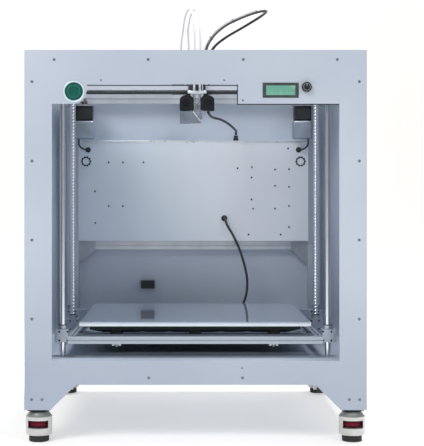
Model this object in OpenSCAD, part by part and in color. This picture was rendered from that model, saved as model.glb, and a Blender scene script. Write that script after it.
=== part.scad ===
/* [Cabinet] */
// Outside width of the cabinet
body_width = 915; // [915:1:960]
// Outside depth of the cabinet, front sheet to rear sheet
body_depth = 915; // [915:1:960]
// Height of the cabinet's top edge above the floor
body_top = 1050; // [1045:1:1090]
// Height of the cabinet's feet above the floor, which the casters fill
leg_bottom = 88; // [88:1:88]
// Thickness of the front and rear sheets
face_sheet = 3; // [2:0.5:4]
// Thickness of the side, floor and cover sheets
side_sheet = 2; // [1.5:0.5:2.5]
// Size of the square profile used for the posts and the base ring
post_size = 40; // [40:1:40]
// Size of the square profile used for the top ring and the middle rail
rail_size = 30; // [30:1:30]
// How far the side of a post stands in from the side of the cabinet
post_inset = 29.5; // [28:0.5:30]

/* [Front opening] */
// Width of the opening in the front sheet
opening_width = 768; // [740:1:776]
// Lower edge of the opening
opening_bottom = 219; // [219:1:225]
// Upper edge of the opening
opening_top = 906; // [900:1:910]
// Upper edge of the notch that shows the gantry
notch_top = 958; // [950:1:960]
// Left side of the notch
notch_left = -290; // [-300:1:-280]
// Right side of the notch
notch_right = 113; // [100:1:120]
// Lower edge of the skirt between the legs
skirt_bottom = 155; // [150:1:158]
// Width of each leg where it meets the caster
leg_width = 70; // [66:1:74]

/* [Print bed] */
// Width of the glass
bed_width = 640; // [600:1:640]
// Depth of the glass
bed_depth = 625; // [600:1:625]
// Height of the top of the glass in the stored position
bed_top = 312; // [312:1:330]
// Thickness of the glass
glass_thick = 4; // [3:0.5:5]
// Thickness of the heated plate
plate_thick = 8; // [6:0.5:8]

/* [Gantry and head] */
// Centre height of the gantry beam
beam_z = 990; // [990:1:990]
// Centre of the head across the machine in the stored position
head_x = 8; // [0:1:20]
// Height of the nozzle tips
nozzle_z = 878; // [878:1:880]
// Spacing of the two nozzles
nozzle_pitch = 17; // [16:0.5:18]
// Pitch radius of every belt pulley
pulley_r = 8; // [7.5:0.1:8]

/* [Casters] */
// Radius of a caster's drum
drum_r = 35.5; // [35:0.1:35.5]
// Radius of the levelling pad
pad_r = 27; // [26:0.1:27]
// Distance from the swivel axis to the roller's axle
caster_trail = 50; // [50:0.5:52]
// Radius of the roller
roller_r = 22; // [21:0.1:22]

/* [Hidden] */
$fn = 48;

// Overcut that keeps a cut from ending on a face
eps = 0.1;
left = -1;
right = 1;
front = -1;
rear = 1;

// What stands out in front of the front sheet and behind the rear sheet
knob_out = 14;
feeder_out = 32;
// The cabinet is placed so that the whole object is centred on the origin
front_y = -(body_depth + feeder_out - knob_out) / 2;
rear_y = front_y + body_depth;
half_w = body_width / 2;

// Posts
post_x = half_w - post_inset - post_size / 2;
post_front_y = front_y + face_sheet + post_size / 2;
post_rear_y = rear_y - face_sheet - post_size / 2;
plate_z = 94;
ring_z = 990;
ring_top = ring_z + rail_size / 2;
ring_bottom = ring_z - rail_size / 2;
base_z = opening_bottom - 3 - post_size / 2;

// Rear electronics space
cover_y = rear_y - 65;
cover_top = 851;
middle_rail_z = 499;
middle_rail_y = rear_y - face_sheet - rail_size / 2 - 1;
cover_bottom = middle_rail_z + rail_size / 2;
cover_half = post_x - post_size / 2 - 1;

// Lift
rod_x = 367;
rod_r = 8;
rod_front_y = front_y + 120;
screw_y = front_y + 430;
rod_rear_y = front_y + 740;
rear_rod_x = 400;
// Across and along places of the front rods, the screws and the rear rods
lift_lines = [[rod_x, rod_front_y], [rod_x, screw_y], [rear_rod_x, rod_rear_y]];
floor_top = opening_bottom;
rod_top = 966;
running = 0.05;

// Gantry
beam_y = front_y + 462;
beam_size = 20;
beam_half = 379;
side_rail_face = post_x + post_size / 2 - rail_size;
y_pulley_x = 362;
y_pulley_y = front_y + 805;
y_idler_y = front_y + 70;
y_belt_z = 975;
belt_wide = 8;
belt_thick = 1.6;
x_pulley_x = 330;
x_belt_y = beam_y + 24;
x_belt_z = 989;
y_motor_top = 962;

// Head
head_y = front_y + 416;

// Bed
bed_mid_y = front_y + 428.5;
plate_bottom = bed_top - glass_thick - plate_thick;
arm_z = 265;
arm_size = 20;

// Casters
caster_x = half_w - 35.5;
caster_in = 36;

// ---------- helpers ----------

// Cross-section of a slotted square profile
module profile_2d(size) {
  slot_wide = size * 0.2;
  slot_deep = size * 0.2;
  difference() {
    square(size, center = true);
    for (a = [0:90:270])
      rotate(a)
        translate([size / 2, 0])
          square([2 * slot_deep, slot_wide], center = true);
    circle(d = size * 0.17);
  }
}

module profile_z(x, y, z_low, z_high, size) {
  translate([x, y, z_low])
    linear_extrude(z_high - z_low)
      profile_2d(size);
}

module profile_x(half, y, z, size) {
  translate([-half, y, z])
    rotate([0, 90, 0])
      linear_extrude(2 * half)
        profile_2d(size);
}

module profile_y(x, y_low, y_high, z, size) {
  translate([x, y_low, z])
    rotate([-90, 0, 0])
      linear_extrude(y_high - y_low)
        profile_2d(size);
}

// Box given by its lowest and highest corners
module block(low, high) {
  translate(low)
    cube(high - low);
}

// Cylinder along X, from x_low to x_high
module rod_along_x(x_low, x_high, y, z, r) {
  translate([x_low, y, z])
    rotate([0, 90, 0])
      cylinder(h = x_high - x_low, r = r);
}

// Cylinder along Y, from y_low to y_high
module rod_along_y(x, y_low, y_high, z, r) {
  translate([x, y_low, z])
    rotate([-90, 0, 0])
      cylinder(h = y_high - y_low, r = r);
}

module rod_up(x, y, z_low, z_high, r) {
  translate([x, y, z_low])
    cylinder(h = z_high - z_low, r = r);
}

// Sheet standing across the machine, its outline drawn in X and Z
module sheet_across(y, thick) {
  translate([0, y + thick, 0])
    rotate([90, 0, 0])
      linear_extrude(thick)
        children();
}

// Sheet standing along the machine, its outline drawn in Y and Z
module sheet_along(x, thick) {
  translate([x, 0, 0])
    rotate([90, 0, 90])
      linear_extrude(thick)
        children();
}

// Outline of a cabinet side: a rectangle with legs below the skirt
module skirted_outline(low, high, leg) {
  drop = skirt_bottom - leg_bottom;
  polygon([
    [low, leg_bottom], [low + leg, leg_bottom], [low + leg + drop, skirt_bottom],
    [high - leg - drop, skirt_bottom], [high - leg, leg_bottom], [high, leg_bottom],
    [high, body_top], [low, body_top]
  ]);
}

// Tube swept along points by one closed surface
function span(a, b) = (b - a) / norm(b - a);
function heading(p, i) =
  i == 0 ? span(p[0], p[1])
  : i == len(p) - 1 ? span(p[i - 1], p[i])
  : span(p[i - 1], p[i + 1]);
function side_of(t) = span([0, 0, 0], cross(t, abs(t[0]) > 0.9 ? [0, 1, 0] : [1, 0, 0]));
function ring_points(p, i, r, sides) =
  let (t = heading(p, i), u = side_of(t), v = cross(t, u))
  [for (k = [0:sides - 1])
    let (a = 360 * k / sides)
    p[i] + r * cos(a) * u + r * sin(a) * v];
module swept_tube(p, r, sides) {
  rings = len(p);
  walls = [for (i = [0:rings - 2], k = [0:sides - 1])
    [i * sides + k, (i + 1) * sides + k,
     (i + 1) * sides + (k + 1) % sides, i * sides + (k + 1) % sides]];
  first_cap = [for (k = [0:sides - 1]) k];
  last_cap = [for (k = [sides - 1:-1:0]) (rings - 1) * sides + k];
  polyhedron(
    points = [for (i = [0:rings - 1]) each ring_points(p, i, r, sides)],
    faces = concat(walls, [first_cap, last_cap]));
}
// Points on a smooth curve through the route, a few between each pair
function smooth_point(a, b, c, d, t) =
  0.5 * (2 * b + (c - a) * t + (2 * a - 5 * b + 4 * c - d) * t * t
         + (3 * b - a - 3 * c + d) * t * t * t);
function smooth_route(p, steps) = concat(
  [for (i = [0:len(p) - 2], s = [0:steps - 1])
    smooth_point(p[max(i - 1, 0)], p[i], p[i + 1], p[min(i + 2, len(p) - 1)], s / steps)],
  [p[len(p) - 1]]);
// A route is written as width, depth behind the front sheet, height
function placed(p) = [for (q = p) [q[0], front_y + q[1], q[2]]];

// ---------- cabinet ----------

badge_x = -325;
badge_z = 939;
badge_r = 25;
tab_r = 33;
screw_r = 4;
screw_rows = [331, 542, 753, 965];
screw_edge = 437;
top_screw_z = 1024;
skirt_screw_z = 174;
leg_screw_z = 116;
front_screws = concat(
  [for (s = [left, right], z = screw_rows) [s * screw_edge, z]],
  [for (x = [-378, -127, 127, 378]) [x, top_screw_z]],
  [for (x = [-125, 125]) [x, skirt_screw_z]],
  [for (s = [left, right], x = [410, 438]) [s * x, leg_screw_z]]);

display_low = [179, 922];
display_high = [275, 962];
knob_x = 296;
knob_z = 950;

module front_panel() {
  color("#c6cfdc")
    difference() {
      sheet_across(front_y, face_sheet)
        difference() {
          skirted_outline(-half_w, half_w, leg_width);
          opening_outline();
          translate(display_low + [2, 2])
            square(display_high - display_low - [4, 4]);
        }
      rod_along_y(knob_x, front_y - eps, front_y + face_sheet + eps, knob_z, 4);
    }
}

module opening_outline() {
  half = opening_width / 2;
  translate([-half, opening_bottom])
    square([opening_width, opening_top - opening_bottom]);
  translate([notch_left, opening_top - eps])
    square([notch_right - notch_left, notch_top - opening_top + eps]);
  // The corner round the badge is an arc, so the notch reaches in beside it
  difference() {
    translate([badge_x, badge_z - tab_r])
      square([notch_left - badge_x + eps, tab_r]);
    translate([badge_x, badge_z])
      circle(r = tab_r, $fn = 96);
  }
}

module side_panel(side) {
  color("#bcc5d2")
    sheet_along(side < 0 ? -half_w : half_w - side_sheet, side_sheet)
      skirted_outline(front_y + face_sheet, rear_y - face_sheet, leg_width);
}
module side_panel_left() { side_panel(left); }
module side_panel_right() { side_panel(right); }

inlet_x = -155;
inlet_z = 364;
inlet_half = [23.5, 13.5];
feeder_xs = [-51, -5];
feeder_z = 1027;

module rear_panel() {
  color("#bcc5d2")
    difference() {
      sheet_across(rear_y - face_sheet, face_sheet)
        difference() {
          skirted_outline(-half_w, half_w, leg_width);
          translate([inlet_x, inlet_z] - inlet_half)
            square(2 * inlet_half);
        }
      for (x = feeder_xs)
        rod_along_y(x, rear_y - face_sheet - eps, rear_y + eps, feeder_z, 11);
    }
}

module floor_panel() {
  edge = half_w - side_sheet - 0.5;
  color("#c3ccd8")
    difference() {
      block([-edge, front_y + face_sheet, floor_top - 3], [edge, rear_y - face_sheet, floor_top]);
      for (s = [left, right]) {
        for (y = [post_front_y, post_rear_y])
          block([s * post_x - post_size / 2, y - post_size / 2, floor_top - 4],
                [s * post_x + post_size / 2, y + post_size / 2, floor_top + 1]);
        rod_up(s * rod_x, screw_y, floor_top - 4, floor_top + 1, 19);
      }
    }
}

module frame_profiles() {
  side_x = post_x + post_size / 2 - rail_size / 2;
  color("#aeb7c2") {
    for (s = [left, right]) {
      for (y = [post_front_y, post_rear_y])
        profile_z(s * post_x, y, plate_z, ring_bottom, post_size);
      profile_y(s * side_x, front_y + face_sheet, rear_y - face_sheet, ring_z, rail_size);
      profile_y(s * post_x, post_front_y + post_size / 2, post_rear_y - post_size / 2,
                base_z, post_size);
    }
    inner = side_x - rail_size / 2;
    profile_x(inner, front_y + face_sheet + rail_size / 2, ring_z, rail_size);
    profile_x(inner, front_y + 860, ring_z, rail_size);
    for (y = [post_front_y, post_rear_y])
      profile_x(post_x - post_size / 2, y, base_z, post_size);
    profile_x(post_x - post_size / 2, middle_rail_y, middle_rail_z, rail_size);
  }
}

// Flat arm under the side rail, reaching in to a rod, an idler or a motor
module inward_plate(side, y, half, reach_x, z_low, z_high) {
  inner = min(side * reach_x, side * (post_x + post_size / 2));
  outer = max(side * reach_x, side * (post_x + post_size / 2));
  pad_low = min(side * 400, side * (post_x + post_size / 2));
  pad_high = max(side * 400, side * (post_x + post_size / 2));
  block([inner, y - half, z_low], [outer, y + half, z_high]);
  block([pad_low, y - half, z_high - eps], [pad_high, y + half, ring_bottom]);
}

module corner_brackets() {
  brace = 56;
  color("#9aa3ae")
    difference() {
      union() {
        for (s = [left, right]) {
          for (q = lift_lines)
            inward_plate(s, q[1], 16, q[0] - 12, 956, 964);
          inward_plate(s, y_idler_y, 14, 348, y_motor_top, 968);
          inward_plate(s, y_pulley_y, 31, 330, y_motor_top, 968);
          // Triangular braces under the middle rail
          translate([0, rear_y - face_sheet - rail_size - 2, 0])
            rotate([90, 0, 0])
              mirror([s < 0 ? 0 : 1, 0, 0])
                translate([-(post_x - post_size / 2), 0, 0])
                  linear_extrude(3)
                    polygon([[0, middle_rail_z + 10], [0, middle_rail_z - 70],
                             [brace, middle_rail_z - 15], [brace, middle_rail_z + 10]]);
        }
      }
      for (s = [left, right]) {
        for (q = lift_lines)
          rod_up(s * q[0], q[1], 950, rod_top + 0.5, rod_r + running);
        rod_up(s * y_pulley_x, y_idler_y, 950, 970, 4);
        rod_up(s * y_pulley_x, y_pulley_y, 950, 970, 12);
      }
    }
}

grommet_x = 354;
grommet_z = 820;
vent_x = 361;
vent_z = 781;
vent_r = 14.5;
vent_hole_r = 3.4;
bed_exit_x = 104;
bed_exit_z = 590;
hose_exit_x = 144;

module electronics_cover() {
  deep = rear_y - face_sheet - cover_y;
  color("#aab6c6")
    difference() {
      block([-cover_half, cover_y, cover_bottom], [cover_half, cover_y + deep, cover_top]);
      block([-cover_half + side_sheet, cover_y + side_sheet, cover_bottom - eps],
            [cover_half - side_sheet, cover_y + deep + eps, cover_top - side_sheet]);
      for (s = [left, right]) {
        rod_along_y(s * grommet_x, cover_y - eps, cover_y + 3, grommet_z, 6);
        for (a = [0:36:324])
          rod_along_y(s * vent_x + vent_r * cos(a), cover_y - eps, cover_y + 3,
                      vent_z + vent_r * sin(a), vent_hole_r);
      }
      rod_along_y(bed_exit_x, cover_y - eps, cover_y + 3, bed_exit_z, 7);
      rod_up(hose_exit_x, cover_y + 20, cover_top - 3, cover_top + eps, 7);
    }
}

module corner_badge() {
  color("#0e7e6f")
    translate([badge_x, front_y, badge_z])
      rotate([90, 0, 0])
        rotate_extrude($fn = 96)
          polygon([[0, 0], [29, 0], [29, 2], [28, 3], [25.5, 3], [25, 2.2], [18, 2.2],
                   [17.5, 2.8], [15.5, 2.8], [15, 2.2], [0, 2.2]]);
}

module display_module() {
  color("#4b5257")
    difference() {
      union() {
        block([display_low[0], front_y - 2, display_low[1]],
              [display_high[0], front_y, display_high[1]]);
        block([display_low[0] + 2.2, front_y - 0.5, display_low[1] + 2.2],
              [display_high[0] - 2.2, front_y + 9, display_high[1] - 2.2]);
        block([display_low[0] - 8, front_y + 9, 915], [knob_x + 14, front_y + 11, 970]);
        block([knob_x - 6, front_y + 4.5, knob_z - 6], [knob_x + 6, front_y + 9.5, knob_z + 6]);
      }
      block([display_low[0] + 9, front_y - 3, display_low[1] + 7],
            [display_high[0] - 9, front_y - 0.8, display_high[1] - 7]);
      rod_along_y(knob_x, front_y + 4, front_y + 12, knob_z, 3 + running);
    }
}

module encoder_shaft() {
  color("#b8b8b8")
    rod_along_y(knob_x, front_y - 12, front_y + 9.3, knob_z, 3);
}

module encoder_knob() {
  color("#16181b")
    difference() {
      translate([knob_x, front_y - 1.3, knob_z])
        rotate([90, 0, 0])
          difference() {
            cylinder(h = knob_out - 1.3, r = 13.5, $fn = 64);
            for (a = [0:20:340])
              rotate(a)
                translate([14.2, 0, 2])
                  cylinder(h = knob_out, r = 1.2, $fn = 16);
          }
      rod_along_y(knob_x, front_y - 12.1, front_y, knob_z, 3 + running);
    }
}

module power_inlet() {
  color("#17191c")
    difference() {
      union() {
        block([inlet_x - 29.5, rear_y, inlet_z - 16.5], [inlet_x + 29.5, rear_y + 3, inlet_z + 16.5]);
        block([inlet_x - 23, rear_y - 35, inlet_z - 13], [inlet_x + 23, rear_y + 1, inlet_z + 13]);
      }
      // Socket recess, then the rocker's pocket
      block([inlet_x - 21, rear_y - 18, inlet_z - 10], [inlet_x + 5, rear_y + 4, inlet_z + 10]);
      block([inlet_x + 8.5, rear_y - 12, inlet_z - 10], [inlet_x + 21.5, rear_y + 4, inlet_z + 10]);
    }
  color("#c8a860")
    for (p = [[-14, -2], [-8, 3], [-2, -2]])
      block([inlet_x + p[0] - 1, rear_y - 18.5, inlet_z + p[1] - 2],
            [inlet_x + p[0] + 1, rear_y - 3, inlet_z + p[1] + 2]);
}

rocker_y = rear_y - 2;
module power_rocker() {
  rocker_tilt = 7;
  color("#202326") {
    rod_along_x(inlet_x + 8.6, inlet_x + 21.4, rocker_y, inlet_z, 1.2);
    translate([inlet_x + 15, rocker_y, inlet_z])
      rotate([rocker_tilt, 0, 0])
        rotate([90, 0, 90])
          translate([0, 0, -6])
            linear_extrude(12)
              polygon([[4.5, -8.5], [3.4, 0], [4.5, 8.5], [-1, 8.2], [-5, 3], [-5, -3], [-1, -8.2]]);
  }
}

module power_supply() {
  color("#b9bec4")
    difference() {
      block([-310, rear_y - 38, 590], [-195, rear_y - face_sheet - 0.5, 805]);
      for (z = [610:12:640])
        block([-290, rear_y - 39, z], [-215, rear_y - 36, z + 5]);
    }
}

module control_board() {
  color("#1c6b3c") {
    block([190, rear_y - 18, 540], [330, rear_y - 16, 770]);
    for (x = [200, 322], z = [550, 760])
      rod_along_y(x, rear_y - 16 - eps, rear_y - face_sheet, z, 3);
  }
  color("#22262a") {
    for (z = [565:32:700])
      block([205, rear_y - 34, z], [225, rear_y - 18 + eps, z + 20]);
    block([250, rear_y - 24, 600], [275, rear_y - 18 + eps, 625]);
    block([290, rear_y - 32, 560], [322, rear_y - 18 + eps, 740]);
  }
}

module y_rails() {
  color("#d5d8dc")
    for (s = [left, right])
      block([min(s * 390, s * side_rail_face), front_y + 70, 984],
            [max(s * 390, s * side_rail_face), front_y + 844, 996]);
}

module stepper_motors() {
  size = 30;
  lift_half = 20.8;
  for (s = [left, right]) {
    // Gantry drive motor with its end cap below
    color("#202226")
      translate([s * y_pulley_x, y_pulley_y, 0]) {
        block([-size + 1.5, -size + 1.5, 913], [size - 1.5, size - 1.5, y_motor_top]);
        rod_up(0, 0, y_motor_top - eps, 968, 11.5);
        rod_up(0, 0, y_motor_top, 982, 3);
      }
    color("#8f99a6")
      block([s * y_pulley_x - 32, y_pulley_y - 32, 854], [s * y_pulley_x + 32, y_pulley_y + 32, 913 + eps]);
    // Lift motor under the floor with its coupling to the screw
    color("#202226")
      translate([s * rod_x, screw_y, 0]) {
        block([-lift_half, -lift_half, 158], [lift_half, lift_half, floor_top - 3]);
        rod_up(0, 0, floor_top - 3 - eps, floor_top + 6, 4);
      }
  }
}

module belt_loop(length, wide) {
  outer = pulley_r + belt_thick;
  difference() {
    open_loop(length, outer, wide);
    translate([0, 0, -eps])
      open_loop(length, pulley_r + 0.1, wide + 2 * eps);
  }
}
module open_loop(length, r, wide) {
  cylinder(h = wide, r = r);
  translate([0, length, 0])
    cylinder(h = wide, r = r);
  translate([-r, 0, 0])
    cube([2 * r, length, wide]);
}

module y_belts() {
  color("#2a2c2f")
    for (s = [left, right])
      translate([s * y_pulley_x, y_idler_y, y_belt_z - belt_wide / 2])
        belt_loop(y_pulley_y - y_idler_y, belt_wide);
}

// Flanged pulley or idler, its axis along Z, centred on the belt
module pulley(bore) {
  half = belt_wide / 2;
  color("#c9ccd0")
    difference() {
      union() {
        translate([0, 0, -half - 0.4])
          cylinder(h = belt_wide + 0.8, r = pulley_r - 0.3);
        for (z = [-half - 1.6, half + 0.6])
          translate([0, 0, z])
            cylinder(h = 1, r = pulley_r + 1);
      }
      translate([0, 0, -10])
        cylinder(h = 20, r = bore + running);
    }
}
module y_pulley_left() { translate([-y_pulley_x, y_pulley_y, y_belt_z]) pulley(3); }
module y_pulley_right() { translate([y_pulley_x, y_pulley_y, y_belt_z]) pulley(3); }
module y_idler_left() { translate([-y_pulley_x, y_idler_y, y_belt_z]) idler_with_pin(); }
module y_idler_right() { translate([y_pulley_x, y_idler_y, y_belt_z]) idler_with_pin(); }
// Idler that turns with its own pin in the bracket's bearing
module idler_with_pin() {
  pulley(3);
  color("#c9ccd0")
    translate([0, 0, -14])
      cylinder(h = 20, r = 3.5);
}

module z_guide_rods() {
  color("#dfe3e8")
    for (s = [left, right], q = [lift_lines[0], lift_lines[2]])
      rod_up(s * q[0], q[1], floor_top, rod_top, rod_r);
}

coupler_top = 245;
module z_screw(side) {
  color("#cfd4da")
    translate([side * rod_x, screw_y, 0])
      difference() {
        union() {
          rod_up(0, 0, floor_top + 1, coupler_top, 12);
          rod_up(0, 0, coupler_top - eps, rod_top, rod_r);
        }
        rod_up(0, 0, floor_top, floor_top + 7, 4 + running);
      }
}
module z_screw_left() { z_screw(left); }
module z_screw_right() { z_screw(right); }

module panel_screws() {
  color("#8b93a0") {
    for (p = front_screws)
      translate([p[0], front_y, p[1]])
        rotate([90, 0, 0])
          cylinder(h = 1.2, r = screw_r, $fn = 24);
    for (p = [[-253, 969], [76, 969], [126, 915], [124, 200]])
      translate([p[0], front_y, p[1]])
        rotate([90, 0, 0])
          cylinder(h = 1, r = 2.6, $fn = 24);
    for (s = [left, right], z = screw_rows)
      translate([s * screw_edge, rear_y, z])
        rotate([-90, 0, 0])
          cylinder(h = 1.2, r = screw_r, $fn = 24);
    for (x = [-378, -127, 127, 378])
      translate([x, rear_y, top_screw_z])
        rotate([-90, 0, 0])
          cylinder(h = 1.2, r = screw_r, $fn = 24);
    for (p = [[-285, 778], [-237, 778], [-168, 778], [-285, 631], [-237, 631], [-331, 681], [-330, 574],
              [149, 758], [197, 762], [196, 727], [275, 754], [322, 755], [275, 699],
              [322, 695], [196, 653], [201, 622], [275, 622], [322, 631], [186, 535],
              [294, 535], [322, 560], [319, 825]])
      cover_screw_head(p);
  }
}
module cover_screw_head(p) {
  translate([p[0], cover_y, p[1]])
    rotate([90, 0, 0])
      cylinder(h = 1.2, r = 3, $fn = 24);
}

module filament_feeders() {
  for (x = feeder_xs) {
    color("#24272b")
      block([x - 21, rear_y - face_sheet - 38, feeder_z - 21],
            [x + 21, rear_y - face_sheet, feeder_z + 21]);
    color("#c4c9cf")
      rod_along_y(x, rear_y - face_sheet - eps, rear_y + 2, feeder_z, 10.8);
    color("#3a3f45")
      block([x - 21.5, rear_y, feeder_z - 27], [x + 21.5, rear_y + 26, feeder_z + 25]);
    color("#c4c9cf") {
      rod_along_y(x + 6, rear_y + 26 - eps, rear_y + feeder_out, feeder_z, 9);
      rod_up(x, rear_y + 13, feeder_z + 25 - eps, feeder_z + 34, 5);
      rod_up(x, rear_y + 13, feeder_z - 33, feeder_z - 27 + eps, 4);
    }
  }
}

// Leads from the gantry motors into the cover, with their grommets
lead_route = [[380, 798, 853.5], [381, 799, 846], [381, 803, 837], [377, 812, 828],
              [369, 824, 822], [361, 835, 820], [354, 844, 820]];
module motor_leads() {
  color("#101215")
    for (s = [left, right])
      mirror([s < 0 ? 1 : 0, 0, 0]) {
        swept_tube(smooth_route(placed(lead_route), 4), 2.8, 8);
        rod_along_y(grommet_x, cover_y - 7, cover_y, grommet_z, 9);
        rod_along_y(grommet_x, cover_y - eps, cover_y + 5, grommet_z, 5.9);
      }
  color("#101215") {
    rod_along_y(bed_exit_x, cover_y - 7, cover_y, bed_exit_z, 10);
    rod_along_y(bed_exit_x, cover_y - eps, cover_y + 5, bed_exit_z, 6.9);
    rod_up(hose_exit_x, cover_y + 20, cover_top, cover_top + 17.8, 9);
    rod_up(hose_exit_x, cover_y + 20, cover_top - 5, cover_top + eps, 6.9);
    // Clip for the overhead cable on the rear rail
    block([40, front_y + 850, ring_top], [62, front_y + 870, ring_top + 13]);
  }
}

// ---------- gantry ----------

module gantry_beam() {
  color("#d3d9e2") {
    profile_x(beam_half - 0.5, beam_y, beam_z, beam_size);
    block([-345, beam_y - beam_size / 2 - 8, beam_z - 6],
          [345, beam_y - beam_size / 2 + eps, beam_z + 6]);
  }
}

bearer_x = 312;
module gantry_end_blocks() {
  color("#a9b1bb")
    for (s = [left, right])
      mirror([s < 0 ? 1 : 0, 0, 0])
        difference() {
          union() {
            block([beam_half - 0.5, beam_y - 30, 980], [beam_half + 6, beam_y + 34, 1004]);
            block([beam_half + 6 - eps, beam_y - 26, 980], [395, beam_y + 26, 1000]);
            // Upright and bearer that carry the belt clamp and the drive on top
            block([bearer_x, beam_y - 10, beam_z + 10], [beam_half + 1, beam_y + 44, 1005]);
            block([348, beam_y - 10, 970.2], [359, beam_y + 10, beam_z - 10]);
          }
          // Linear bearing's groove round the rail, with clearance
          block([389.5, beam_y - 40, 983.6], [399, beam_y + 40, 996.4]);
          // Slot that the inner run of the belt passes through
          inner_run = y_pulley_x - pulley_r;
          block([inner_run - belt_thick - 0.6, beam_y - 40, 969],
                [inner_run + 0.6, beam_y + 40, 979.6]);
          rod_up(x_pulley_x, x_belt_y, 998, 1006, 5);
        }
}

module x_motor() {
  color("#23262a")
    translate([x_pulley_x, x_belt_y, 0]) {
      block([-21, -21, 1005], [21, 21, 1043]);
      rod_up(0, 0, 982, 1005 + eps, 2.5);
    }
}

module x_belt() {
  color("#2a2c2f")
    translate([x_pulley_x, x_belt_y, x_belt_z - belt_wide / 2])
      rotate(90)
        belt_loop(2 * x_pulley_x, belt_wide);
}
module x_pulley() { translate([x_pulley_x, x_belt_y, x_belt_z]) pulley(2.5); }
module x_idler() {
  translate([-x_pulley_x, x_belt_y, x_belt_z]) {
    pulley(2.5);
    color("#c9ccd0")
      translate([0, 0, -5])
        cylinder(h = 18, r = 3);
  }
}

// ---------- head ----------

block_half = 26;
module head_carriage() {
  plate_low = 969;
  strand_y = x_belt_y - pulley_r;
  color("#1b1e23")
    difference() {
      block([head_x - block_half, beam_y - 24, 977], [head_x + block_half, beam_y - 10.4, 1001]);
      block([head_x - 40, beam_y - 18.4, beam_z - 6.4], [head_x + 40, beam_y - 9, beam_z + 6.4]);
    }
  color("#c5cad1") {
    block([head_x - 35, head_y - 22, plate_low], [head_x + 35, beam_y - 12, 977 + eps]);
    // Arm over the beam to the belt
    difference() {
      union() {
        block([head_x - 12, beam_y - 24, 1001 - eps], [head_x + 12, strand_y + 4, 1005]);
        block([head_x - 12, strand_y - 5, 982], [head_x + 12, strand_y + 4, 1001]);
      }
      block([head_x - 13, strand_y - belt_thick - 0.6, x_belt_z - belt_wide / 2 - 0.5],
            [head_x + 13, strand_y + 0.6, x_belt_z + belt_wide / 2 + 0.5]);
    }
  }
}

module hot_ends() {
  fins = 9;
  fin_pitch = 4.6;
  fin_base = 918;
  for (s = [left, right])
    translate([head_x + s * nozzle_pitch / 2, head_y, 0]) {
      color("#c9ced4") {
        rod_up(0, 0, fin_base - 6, 969, 3.2);
        for (i = [0:fins - 1])
          rod_up(0, 0, fin_base + i * fin_pitch, fin_base + i * fin_pitch + 2, 8);
        rod_up(0, 0, 977 + eps, 987, 4.5);
      }
      color("#b08d57") {
        block([-7.5, -9, 893], [7.5, 11, 912 + eps]);
        rod_up(0, 0, nozzle_z + 4, 893 + eps, 3.5);
        translate([0, 0, nozzle_z])
          cylinder(h = 4 + eps, r1 = 0.8, r2 = 3.5);
      }
    }
}

blower_z = 936;
blower_half = 18;
blower_in = 20;
blower_out = 52;
duct_low = 880;
module blowers() {
  for (s = [left, right])
    translate([head_x, 0, 0])
      mirror([s < 0 ? 1 : 0, 0, 0]) {
        color("#0f1113") {
          difference() {
            block([blower_in, head_y - blower_half, blower_z - blower_half],
                  [blower_out, head_y + blower_half, blower_z + blower_half]);
            rod_along_x(blower_in + 4, blower_out + eps, head_y, blower_z, 16);
          }
          rod_along_x(blower_in + 4 - eps, blower_out - 4, head_y, blower_z, 4);
          block([blower_in, head_y - 12, blower_z + blower_half - eps],
                [blower_in + 18, head_y + 12, 969]);
        }
      }
  // Air duct from the left blower, with a plate across the front of the hot ends
  color("#78838f") {
    difference() {
      block([head_x - 52, head_y - 12, duct_low], [head_x - 18, head_y + 12, 918 + eps]);
      block([head_x - 50, head_y - 10, duct_low + 2], [head_x - 17, head_y + 10, 916]);
    }
    translate([head_x, head_y - 12 + eps, 0])
      rotate([90, 0, 0])
        linear_extrude(1.5)
          polygon([[-52, 917], [-11, 917], [13, 886], [7, duct_low], [-52, duct_low]]);
  }
}
module blower_rotor(side) {
  color("#2a2d31")
    translate([head_x, 0, 0])
      mirror([side < 0 ? 1 : 0, 0, 0])
        difference() {
          union() {
            rod_along_x(blower_in + 6, blower_out - 3, head_y, blower_z, 8);
            for (a = [0:36:324])
              translate([blower_in + 7, head_y, blower_z])
                rotate([a, 0, 0])
                  translate([0, -0.6, 7])
                    cube([blower_out - blower_in - 11, 1.2, 7.5]);
          }
          rod_along_x(blower_in + 3, blower_out - 4 + running, head_y, blower_z, 4 + running);
        }
}
module blower_rotor_left() { blower_rotor(left); }
module blower_rotor_right() { blower_rotor(right); }

// ---------- bed ----------

bar_front_y = front_y + 95;
bar_rear_y = front_y + 765;
arm_x = 340;
level_x = 220;
level_ys = [front_y + 160, front_y + 697];

module bed_frame() {
  nut_half = 22;
  color("#b9c1cb")
    difference() {
      union() {
        for (y = [bar_front_y, bar_rear_y])
          profile_x(arm_x + arm_size / 2, y, arm_z, arm_size);
        for (s = [left, right])
          profile_y(s * arm_x, bar_front_y + arm_size / 2, bar_rear_y - arm_size / 2,
                    arm_z, arm_size);
        for (y = level_ys)
          profile_x(arm_x - arm_size / 2, y, arm_z, arm_size);
        for (s = [left, right])
          mirror([s < 0 ? 1 : 0, 0, 0])
            for (q = lift_lines) {
              block([arm_x + arm_size / 2, q[1] - nut_half, arm_z - 7],
                    [q[0] + nut_half - 2, q[1] + nut_half, arm_z + 28]);
              rod_up(q[0], q[1], arm_z + 28 - eps, arm_z + 38, 14);
            }
      }
      for (s = [left, right], q = lift_lines)
        rod_up(s * q[0], q[1], arm_z - 8, arm_z + 40, rod_r + running);
      for (x = [-level_x, level_x], y = level_ys)
        rod_up(x, y, arm_z - 12, arm_z + 12, 2.6);
    }
  // Clamp that holds the bed cable at the rear bar
  color("#15171a")
    block([140, bar_rear_y - 10, arm_z + 10 - eps], [168, bar_rear_y + 8, arm_z + 19.8]);
}

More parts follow.
